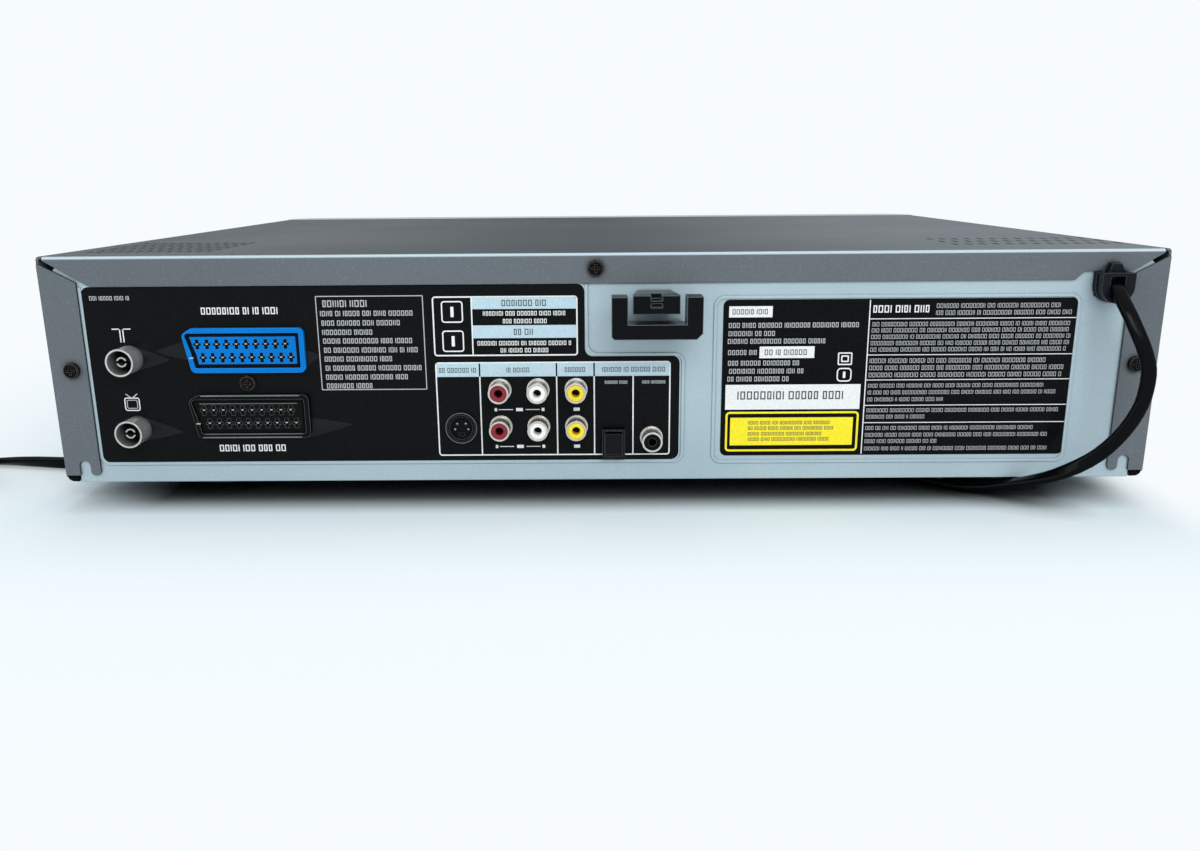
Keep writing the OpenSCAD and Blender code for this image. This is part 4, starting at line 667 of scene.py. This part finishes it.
def tent(form, x, z, radius, tip_x, tip_z, height):
    """A fold of the film, from a socket down to a tip on the panel."""
    along = Vector((tip_x - x, tip_z - z))
    side = Vector((-along.y, along.x)).normalized()
    steps, across = 14, 12
    layers = []
    for lift in (1, 0):
        grid = []
        for i in range(steps + 1):
            t = i / steps
            wide = radius * (1 - t) ** 0.85
            row = []
            for j in range(across + 1):
                v = 2 * j / across - 1
                at = Vector((x, z)) + along * t + side * wide * v
                rise = height * (1 - t) ** 1.3 * (1 - abs(v)) ** 0.8
                row.append(form.verts.new(mm(at.x, PANEL_Y + (FILM + rise if lift else 0.1), at.y)))
            grid.append(row)
        layers.append(grid)
    top, low = layers
    for grid in layers:
        for i in range(steps):
            for j in range(across):
                form.faces.new((grid[i][j], grid[i + 1][j], grid[i + 1][j + 1], grid[i][j + 1]))
    for i in range(steps):
        for j in (0, across):
            form.faces.new((top[i][j], top[i + 1][j], low[i + 1][j], low[i][j]))
    for i in (0, steps):
        for j in range(across):
            form.faces.new((top[i][j], top[i][j + 1], low[i][j + 1], low[i][j]))


folds = bmesh.new()
for fold in (           # x, z and half width at the socket, x and z of the tip, height
        (184.1, 59.3, 5.4, 168.5, 58.8, 0.8), (184.1, 31.0, 5.4, 166.5, 29.6, 0.8),
        (160, 62.4, 4.2, 173.8, 62.0, 0.45), (117.0, 59.0, 4.0, 109.8, 60.2, 0.4),
        (117.0, 31.2, 4.2, 98.5, 32.4, 0.6)):
    tent(folds, *fold)
bmesh.ops.remove_doubles(folds, verts=folds.verts, dist=1e-7)
piece("label_folds", folds, fold_film, smooth=60)

# Socket label, from left to right
chance = random.Random(7)
TOP = PANEL_Y + FILM
white, soft, blue, dark, yellow = (bmesh.new() for _ in range(5))
# Painted highlight: a pale band round the edge of the socket label, in the pale blue ink
band(blue, label_outline(0.35), label_outline(0), PANEL_Y, PANEL_Y + 0.1)
blank_words(soft, [(107.2, 87.4, 80.3)], 2.6, TOP, chance)
blank_words(soft, [
    (108.4, 71.5, 76.5), (108.1, 75.9, 72.8), (108.1, 88.1, 69.2), (108.0, 72.5, 65.8),
    (107.9, 71.0, 62.2), (107.9, 79.6, 58.7), (107.8, 69.8, 55.1), (107.9, 75.0, 51.5),
    (107.8, 88.6, 48.0)], 2.0, TOP, chance)
ruled_box(soft, 109.9, 68.4, 46.3, 83.3, 0.35, 0.4, TOP)

ruled_box(white, 65, 9, 59.5, 82.8, 0.55, 1.3, TOP)
bar(white, 50.1, 49.6, 60, 82.3, TOP)
for low, high in ((77.8, 82.3), (66.5, 71.5)):
    bar(blue, 49.6, 9.5, low, high, TOP)
blank_words(dark, [(38.2, 20.8, 80.1), (33.8, 25.0, 68.9)], 2.4, TOP + INK, chance)
blank_words(white, [
    (45.5, 12.8, 76.1), (37.9, 20.4, 73.1), (48.0, 11, 64.5), (39.1, 19.7, 61.7)], 1.7, TOP, chance)
for z in (76.8, 65.4):
    ruled_box(white, 61.6, 53.2, z - 4.2, z + 4.2, RULE, 1.2, TOP)
    bar(white, 58, 56.8, z - 2, z + 2, TOP)

# The table round the phono, video and optical sockets
TABLE_LOW, HEADER_Z, TITLE_Z, TABLE_HIGH = 19.7, 51.3, 53.9, 56.6
ruled_box(white, -27.1, 64.9, TABLE_LOW - RULE, TABLE_HIGH + RULE, RULE, 1.3, TOP)
for x0, x1 in ((64.4, 47.9), (47.3, 17.8), (17.2, 3.1), (2.5, -26.6)):
    bar(blue, x0, x1, HEADER_Z, TABLE_HIGH, TOP)
for x in (47.6, 17.5, 2.8, -12.45):
    bar(white, x + RULE / 2, x - RULE / 2, TABLE_LOW, HEADER_Z, TOP)
blank_words(dark, [(left, right, TITLE_Z) for left, right in (
    (63.5, 48.8), (37.1, 27.7), (14.3, 5.7), (-0.4, -25.0))], 1.9, TOP + INK, chance)
blank_words(soft, [(-1.4, -10.2, 48.8), (-16, -25.6, 48.8)], 1.2, TOP, chance)
for z in (38.0, 22.9):
    for x0, x1 in ((42.2, 41.2), (33.7, 31.0), (23.6, 22.5), (11, 8.6)):
        bar(white, x0, x1, z - 0.65, z + 0.65, TOP)
    for x0, x1 in ((40.6, 34.9), (29.9, 24.4)):
        bar(white, x0, x1, z - 0.15, z + 0.15, TOP)
blank_words(white, [(154.4, 124.5, 77.8), (152.6, 124.9, 22.9)], 2.7, TOP, chance)
blank_words(soft, [(197.0, 181.2, 83.0)], 1.6, TOP, chance)

# Aerial signs: a pair of angled strokes, and a receiver with its two rods
for side in (-1, 1):
    stem = 186.2 + side * 0.6
    bar(white, stem - 0.22, stem + 0.22, 65.8, 71.2, TOP)
    bar(white, stem - side * 0.22, stem + side * 3.1, 70.8, 71.2, TOP)
    foot, tip = 185.4 + side * 0.3, 185.4 + side * 2.3
    rod = [(foot - 0.2, 43.7), (foot + 0.2, 43.7), (tip + 0.2, 45.3), (tip - 0.2, 45.3)]
    plate(white, rod, TOP, TOP + INK)
ruled_box(white, 188.5, 182.4, 38.4, 43.8, 0.4, 1.0, TOP)
ruled_box(soft, 187.6, 183.3, 39.3, 42.9, 0.3, 0.6, TOP)

# Rating label
RATING_TOP = PANEL_Y + THIN_FILM
rating = bmesh.new()
plate(rating, rounded(rect(-183.2, -47.1, 18.6, 80.7), 2.4), PANEL_Y, RATING_TOP)
piece("rating_label", rating, rating_film)
bar(white, -103.1, -103.5, 19, 80.3, RATING_TOP)
for z in (73.0, 58.9, 49.0, 38.8, 31.8):
    bar(white, -103.5, -182.8, z - 0.15, z + 0.15, RATING_TOP)
bar(white, -49.3, -66, 73.9, 78.2, RATING_TOP)
blank_words(dark, [(-50.6, -64.6, 76.05)], 2.0, RATING_TOP + INK, chance)
blank_words(soft, [
    (-49.3, -99.6, 70.8), (-49.3, -68.5, 67.6), (-49.1, -87.0, 64.6), (-49.3, -60.5, 60.2),
    (-49.4, -78.1, 56.0), (-49.9, -79.8, 52.8), (-49.3, -73.2, 49.7)], 1.9, RATING_TOP, chance)
bar(white, -61.5, -82.8, 57.9, 62.5, RATING_TOP)
blank_words(dark, [(-63.5, -81.2, 60.2)], 2.2, RATING_TOP + INK, chance)
for x0, x1, z0, z1, radius in (
        (-92.0, -97.6, 55.0, 60.0, 0.5), (-93.3, -96.3, 56.2, 58.8, 0.3),
        (-91.9, -97.7, 48.4, 53.9, 1.6)):
    ruled_box(white, x0, x1, z0, z1, RULE, radius, RATING_TOP)
bar(white, -94.3, -95.3, 49.9, 52.4, RATING_TOP)
bar(white, -48.7, -101.5, 37.4, 47.4, RATING_TOP)
blank_words(dark, [(-53.4, -95.1, 43.1)], 3.3, RATING_TOP + INK, chance)
blank_words(white, [(-104.6, -126.6, 76.8)], 2.8, RATING_TOP, chance)
for rows, height in (
        ([(-128.8, -176.1, 77.9), (-128.7, -181.8, 75.2)], 1.7),
        ([(-104.6, -181.9, 70.9), (-104.5, -181.6, 68.5), (-104.4, -181.6, 66.0),
          (-104.4, -181.6, 63.5), (-104.4, -181.0, 61.0)], 1.6),
        ([(-104.4, -173.1, 56.6), (-104.4, -181.0, 53.8), (-104.4, -180.0, 51.0)], 1.75),
        ([(-104.4, -173.6, 46.7), (-104.4, -177.8, 44.0), (-104.4, -134.2, 41.2)], 1.5),
        ([(-104.4, -179.9, 36.8), (-104.4, -127.4, 34.2)], 1.5),
        ([(-104.4, -171.2, 29.6), (-104.4, -176.8, 26.8), (-104.4, -133.0, 24.2),
          (-104.4, -177.3, 21.2)], 1.5)):
    blank_words(soft, rows, height, RATING_TOP, chance, weight=0.11)
ruled_box(yellow, -49.0, -101.5, 20.3, 36.5, 0.8, 1.6, RATING_TOP)
bar(yellow, -50.9, -99.3, 22.8, 34.1, RATING_TOP)
blank_words(dark, [
    (-58.0, -90.6, 32.0), (-58.0, -92.3, 29.8), (-58, -87.5, 27.5), (-58.0, -90.0, 25.3)],
    1.4, RATING_TOP + INK, chance)
for name, form, ink in (("white_print", white, white_ink), ("soft_print", soft, soft_ink),
                        ("blue_print", blue, blue_ink), ("dark_print", dark, dark_ink),
                        ("yellow_print", yellow, yellow_ink)):
    piece(name, form, ink)

# ---------- painted shade: black plates in the gaps below the side flanges ---
CORNER = [(210.9, 12.6), (210.9, 9.2), (213.4, 9.3), (215.0, 10.2), (215.8, 12.6)]
gaps = bmesh.new()
for side in (-1, 1):
    plate(gaps, [(side * x, z) for x, z in CORNER], PANEL_Y - 0.7, PANEL_Y)
piece("corner_shade_plates", gaps, moulded("painted_gap_shade", BARE_BLACK, 0.6, specular=0.05))

# ---------- contacts in the sockets, and painted shade in their holes and trench ---
SOCKET_X, SOCKET_Z = 138.6, (62.6, 36.3)                    # middles of the 21-pin sockets
LIP_Y, INSERT_Y = PANEL_Y + 2.5, PANEL_Y + 1.9              # their two faces
PIT_Y, BLADE_Y = PANEL_Y + 1.3, PANEL_Y + 1.5               # contact holes and contacts
CONTACT_PITCH = 3.81
CONTACT_ROWS = ((156.6, 2.45, 10), (158.56, -2.8, 11))      # first x, height from the middle, count
LIP = [(-21.8, -6.85), (-21.8, 6.85), (21.6, 6.85), (22.6, 5.95), (20.7, -0.5), (19.4, -6.85)]
INSERT = [(-20.8, -5.7), (-20.8, 5.7), (21.3, 5.7), (19.6, 0), (19.05, -1.6), (18.5, -5.7)]
INSIDE = [(-20.35, -5.35), (-20.35, 5.4), (20.8, 5.4), (19.15, 0), (18.6, -1.6), (18.05, -5.35)]
CROSS = [(-0.68, -1.88), (0.68, -1.88), (0.68, -0.48), (1.43, -0.48), (1.43, 0.48), (0.68, 0.48),
         (0.68, 1.88), (-0.68, 1.88), (-0.68, 0.48), (-1.43, 0.48), (-1.43, -0.48), (-0.68, -0.48)]
tin = plated("tin", (0.5, 0.49, 0.46), 0.3, (300, 300, 300))
blades, pit_shade_form = bmesh.new(), bmesh.new()
for socket_z in SOCKET_Z:
    for row_x, row_z, count in CONTACT_ROWS:
        for i in range(count):
            x = row_x - CONTACT_PITCH * i
            z = socket_z + row_z
            # Painted shade: a black plate deep in each contact hole
            plate(pit_shade_form, moved(CROSS, x, z), PANEL_Y - 0.5, PIT_Y)
            block(blades, (x - 0.25, PIT_Y - 0.1, z - 0.2), (x + 0.75, BLADE_Y, z + 0.3))
    shield_z = socket_z - 3.05, socket_z - 2.5
    block(blades, (158.3, PIT_Y - 0.1, shield_z[0]), (159.9, LIP_Y + 0.06, shield_z[1]))
    lip, insert, inside = [moved(line, SOCKET_X, socket_z) for line in (LIP, INSERT, INSIDE)]
    # Painted shade: black bands in the trench round the insert and along the insert's edge
    band(pit_shade_form, lip, insert, PANEL_Y + 0.9, PANEL_Y + 1.4)
    band(pit_shade_form, insert, inside, INSERT_Y - 0.01, INSERT_Y + 0.02)
VIDEO_PINS = ((53.8, 32.4), (57.2, 32.4), (52.9, 30.1), (58.1, 30.1))
for x, z in VIDEO_PINS:
    plate(blades, circle(x, z, 0.32, 12), PANEL_Y - 3, PANEL_Y + 0.3)
# Painted highlights: pale strips on the lit edges of the lower 21-pin socket: both ends, foot, head
# and face
edges = bmesh.new()
for edge in ((157.2, 118.4, 44.45, 44.95, LIP_Y), (157.9, 118.6, 27.65, 28.1, LIP_Y),
             (157.0, 118.0, 29.1, 29.35, LIP_Y), (158.2, 119.6, 41.3, 41.6, INSERT_Y)):
    bar(edges, *edge)
painted_lip_highlight = moulded("painted_lip_highlight", (0.13, 0.145, 0.145), 0.3, change=0.3)
piece("socket_lip_highlights", edges, painted_lip_highlight)
piece("socket_contacts", blades, tin)
painted_pit_shade = moulded("painted_pit_shade", BARE_BLACK, 0.6, specular=0.1)
piece("socket_pit_shade", pit_shade_form, painted_pit_shade)

# Painted shade: black discs deep in the phono sockets' holes and a black ring inside the video
# socket; then the video socket's grey rim
PHONO_X, PHONO_Z, VIDEO_AT = (9.9, 24.8, 39.7), (31.3, 46.2), (55.5, 30.8)
well_shade = bmesh.new()
for x in PHONO_X:
    for z in PHONO_Z:
        plate(well_shade, circle(x, z, 1.56, 24), PANEL_Y + 3.5, PANEL_Y + 4.5)
band(well_shade, circle(*VIDEO_AT, 5.45), circle(*VIDEO_AT, 4.5), PANEL_Y + 0.8, PANEL_Y + 1.48)
piece("socket_well_shade", well_shade, finishes["socket_housings"])
rim = bmesh.new()
band(rim, circle(*VIDEO_AT, 6.3, 48), circle(*VIDEO_AT, 5.95, 48), PANEL_Y + 1.2, PANEL_Y + 1.48)
piece("video_socket_rim", rim, moulded("rim_grey", (0.1, 0.105, 0.11), 0.3))


# ---------- mains cord ----------
CORD_WIDE, CORD_THICK = 5.4, 3.2
SECTION_SIDES = 20
GROOVE, GROOVE_WIDE = 0.13, 0.7                 # its depth as a share of the thickness, its width
SECTION = []
for i in range(SECTION_SIDES):
    angle = 2 * math.pi * (i + 0.5) / SECTION_SIDES
    across = math.copysign(abs(math.cos(angle)) ** 0.75, math.cos(angle)) * CORD_WIDE / 2
    up = math.copysign(abs(math.sin(angle)) ** 0.6, math.sin(angle)) * CORD_THICK / 2
    SECTION.append((across, up * (1 - GROOVE * math.exp(-(across / GROOVE_WIDE) ** 2))))
FLOOR_LINE = CORD_THICK / 2                     # height of the cord's middle where it lies flat
COIL_AT, COIL_R, COIL_TURNS, COIL_POINTS = (305.0, 151.6), 33.0, 3.75, 24      # points of one turn
END_POINTS, END_OUT, END_DROP = 6, 6, 4.5       # the last quarter turn goes out and down
PLUG_IN = (325.5, 116.6, 7.0)
UPRIGHT, TURNING = 9, 9     # points up to which the cord hangs, and over which it turns flat
LINE_STEP = 4               # rough distance between the points of the smoothed line


def around_coil(angle, radius, z):
    return (COIL_AT[0] + radius * math.cos(angle), COIL_AT[1] + radius * math.sin(angle), z, 0.0)


def cord_route():
    """Points along the cord's middle, how far its flat side has turned from +Y to +Z (0 to 1), and
    how far it leans from there (radians)."""
    hung = [
        (-193.4, 164.4, 86.3), (-193.4, 167.2, 84.7), (-193.6, 171, 81), (-194.9, 175, 76),
        (-197.2, 177.5, 69.9), (-199.4, 179, 64.4), (-201.1, 180, 59), (-201.4, 181, 54.6),
        (-200.9, 181.5, 49), (-199.9, 181.5, 43.4), (-197, 181.5, 36.8), (-192.7, 181, 30.1),
        (-187.8, 178.7, 23.4), (-182.1, 175.5, 17.9), (-175.8, 171.5, 13.2), (-169.5, 167, 9.9),
        (-163, 162, 6.8), (-157.2, 157, 4.2), (-151, 152, 2.3)]
    laid = [
        (-145.5, 147.3), (-138.5, 140.6), (-128, 132), (-110, 122), (-60, 107), (0, 100), (70, 95),
        (130, 98)]
    on_edge = [         # past the case it leans over, almost on edge
        (165, 103.0, 0.25), (185, 106.5, 0.7), (205, 109.6, 1.1), (225, 111.3, 1.35),
        (243, 110.9, 1.3), (260, 108.2, 0.95), (274, 106.0, 0.5), (285, 106.4, 0.2),
        (296, 110.8, 0.0), (304.5, 115.7, 0.0)]
    points = [(*point, 0.0) for point in hung] + [(x, y, FLOOR_LINE, 0.0) for x, y in laid]
    for x, y, lean in on_edge:
        rest = max(abs(across * math.sin(lean) + up * math.cos(lean)) for across, up in SECTION)
        points.append((x, y, rest, lean))
    for i in range(1, int(COIL_TURNS * COIL_POINTS) + 1):
        angle = -math.pi / 2 + 2 * math.pi * i / COIL_POINTS
        points.append(around_coil(angle, COIL_R, FLOOR_LINE + CORD_THICK * i / COIL_POINTS))
    top = points[-1][2]
    for i in range(1, END_POINTS + 1):
        angle = math.pi + math.pi / 2 * i / END_POINTS
        radius = COIL_R + END_OUT * i / END_POINTS
        points.append(around_coil(angle, radius, top - END_DROP * (i / END_POINTS) ** 2))
    end = points[-1]
    points.append((end[0] + 10, end[1] + 1.3, end[2] - 2.2, 0.0))
    points.append((*PLUG_IN, 0.0))
    line, turn = [], []     # smoothed by a Catmull-Rom spline
    for i in range(len(points) - 1):
        a, b, c, d = (Vector(points[max(0, min(len(points) - 1, k))])
                      for k in (i - 1, i, i + 1, i + 2))
        parts = max(2, round((c - b).length / LINE_STEP))
        for k in range(parts):
            t = k / parts
            line.append(0.5 * (2 * b + (c - a) * t + (2 * a - 5 * b + 4 * c - d) * t * t
                               + (3 * b - a - 3 * c + d) * t ** 3))
            turn.append(min(1.0, max(0.0, (i + t - UPRIGHT) / TURNING)))
    line.append(Vector(points[-1]))
    turn.append(1.0)
    return [point.xyz for point in line], turn, [point.w for point in line]


def flat_tube(form, line, turn, lean):
    """Sweeps the two-core section along the line. It hangs with its flat side to the rear and turns
    over smoothly to lie flat or lean."""
    rings = []
    for i, point in enumerate(line):
        ahead = (line[min(i + 1, len(line) - 1)] - line[max(i - 1, 0)]).normalized()
        smooth = turn[i] * turn[i] * (3 - 2 * turn[i])
        hung = Vector((0, max(0.0, -ahead.z), max(0.0, ahead.y))).normalized()
        up = hung.lerp(Matrix.Rotation(lean[i], 3, ahead) @ Vector((0, 0, 1)), smooth)
        up = (up - ahead * up.dot(ahead)).normalized()
        side = ahead.cross(up)
        rings.append([form.verts.new((point + side * x + up * z) * MM) for x, z in SECTION])
    count = len(SECTION)
    for a, b in zip(rings, rings[1:]):
        for i in range(count):
            form.faces.new((a[i], a[(i + 1) % count], b[(i + 1) % count], b[i]))
    form.faces.new(rings[0])
    form.faces.new(rings[-1])


line, turn, lean = cord_route()
cord_form = bmesh.new()
flat_tube(cord_form, line, turn, lean)
sheath = piece("mains_cord", cord_form, finishes["power_cord"], smooth=50)
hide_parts("power_cord", "cord_coil")

# ---------- front ----------
ICON_Y = FRONT_Y - 1.5      # faces of the buttons
BUTTON_Z = 36.0
POWER_X = -184
STOP_X = -76
ARROW_LONG, ICON_HALF = 2.2, 1.3


def arrow(x, way):
    """A triangle that points along x; its way is 1 or -1."""
    back, tip = x - way * ARROW_LONG / 2, x + way * ARROW_LONG / 2
    return [(back, BUTTON_Z - ICON_HALF), (tip, BUTTON_Z), (back, BUTTON_Z + ICON_HALF)]


def icon(name, shapes, body):
    form = bmesh.new()
    for outline in shapes:
        plate(form, outline, ICON_Y - INK, ICON_Y)
    piece(name, form, dark_ink, body=body)


icon("play_icon", [arrow(-124, 1)], "play")
icon("forward_icon", [arrow(-101.2, 1), arrow(-98.9, 1)], "forward")
icon("rewind_icon", [arrow(-146.9, -1), arrow(-149.2, -1)], "rewind")
square = rect(STOP_X - ICON_HALF, STOP_X + ICON_HALF, BUTTON_Z - ICON_HALF, BUTTON_Z + ICON_HALF)
icon("stop_icon", [square], "stop")
for name, x, body in (("eject_icon", -24, "eject"), ("open_icon", 188, "open")):
    up = [(x - 1.8, BUTTON_Z - 0.4), (x + 1.8, BUTTON_Z - 0.4), (x, BUTTON_Z + 1.6)]
    icon(name, [up, rect(x - 1.8, x + 1.8, BUTTON_Z - 1.6, BUTTON_Z - 1.0)], body)
power = bmesh.new()
open_ring = [math.radians(degrees) for degrees in range(-240, 61, 20)]
outer, inner = (arc(POWER_X, BUTTON_Z, radius, open_ring) for radius in (3.0, 2.4))
plate(power, outer + inner[::-1], ICON_Y - INK, ICON_Y)
block(power, (POWER_X - 0.3, ICON_Y - INK, BUTTON_Z + 0.9), (POWER_X + 0.3, ICON_Y, BUTTON_Z + 3.4))
piece("power_icon", power, dark_ink, body="power")

# Clock figures behind the display window, of seven strokes as seen from the front
CLOCK_Z = 31
HIGH, WIDE, STROKE = 9, 4.5, 0.81
SHORT_X, SHORT_Z = 1.08, 0.9        # how far a stroke ends short of the figure's corners
STROKES = {                         # start along x and z, and run along x and z
    "a": (0, HIGH, WIDE, 0), "g": (0, HIGH / 2, WIDE, 0), "d": (0, 0, WIDE, 0),
    "b": (WIDE, HIGH / 2, 0, HIGH / 2), "c": (WIDE, 0, 0, HIGH / 2),
    "f": (0, HIGH / 2, 0, HIGH / 2), "e": (0, 0, 0, HIGH / 2)}
LIT = {"0": "abcdef", "1": "bc", "2": "abdeg"}


def span(start, run, short):
    """Both ends of a stroke along x or z; where it has no run, they are its thickness apart."""
    if run:
        return start + short, start + (run - short)
    return start - STROKE / 2, start + STROKE / 2


def figure(form, x, z, which):
    for key in LIT[which]:
        along, up, run_x, run_z = STROKES[key]
        x0, x1 = span(x + along, run_x, SHORT_X)
        z0, z1 = span(z + up, run_z, SHORT_Z)
        block(form, (x0, FRONT_Y - INK, z0), (x1, FRONT_Y, z1))


clock = bmesh.new()
for x, which in ((98, "1"), (105, "2"), (117, "0"), (124, "0")):
    figure(clock, x, CLOCK_Z, which)
for z in (CLOCK_Z + 2.6, CLOCK_Z + 6.6):
    block(clock, (113.2, FRONT_Y - INK, z), (114.2, FRONT_Y, z + 1))
clock_ink = printed("display_figures", (0.12, 0.62, 0.55), 0.3)
piece("clock_figures", clock, clock_ink)
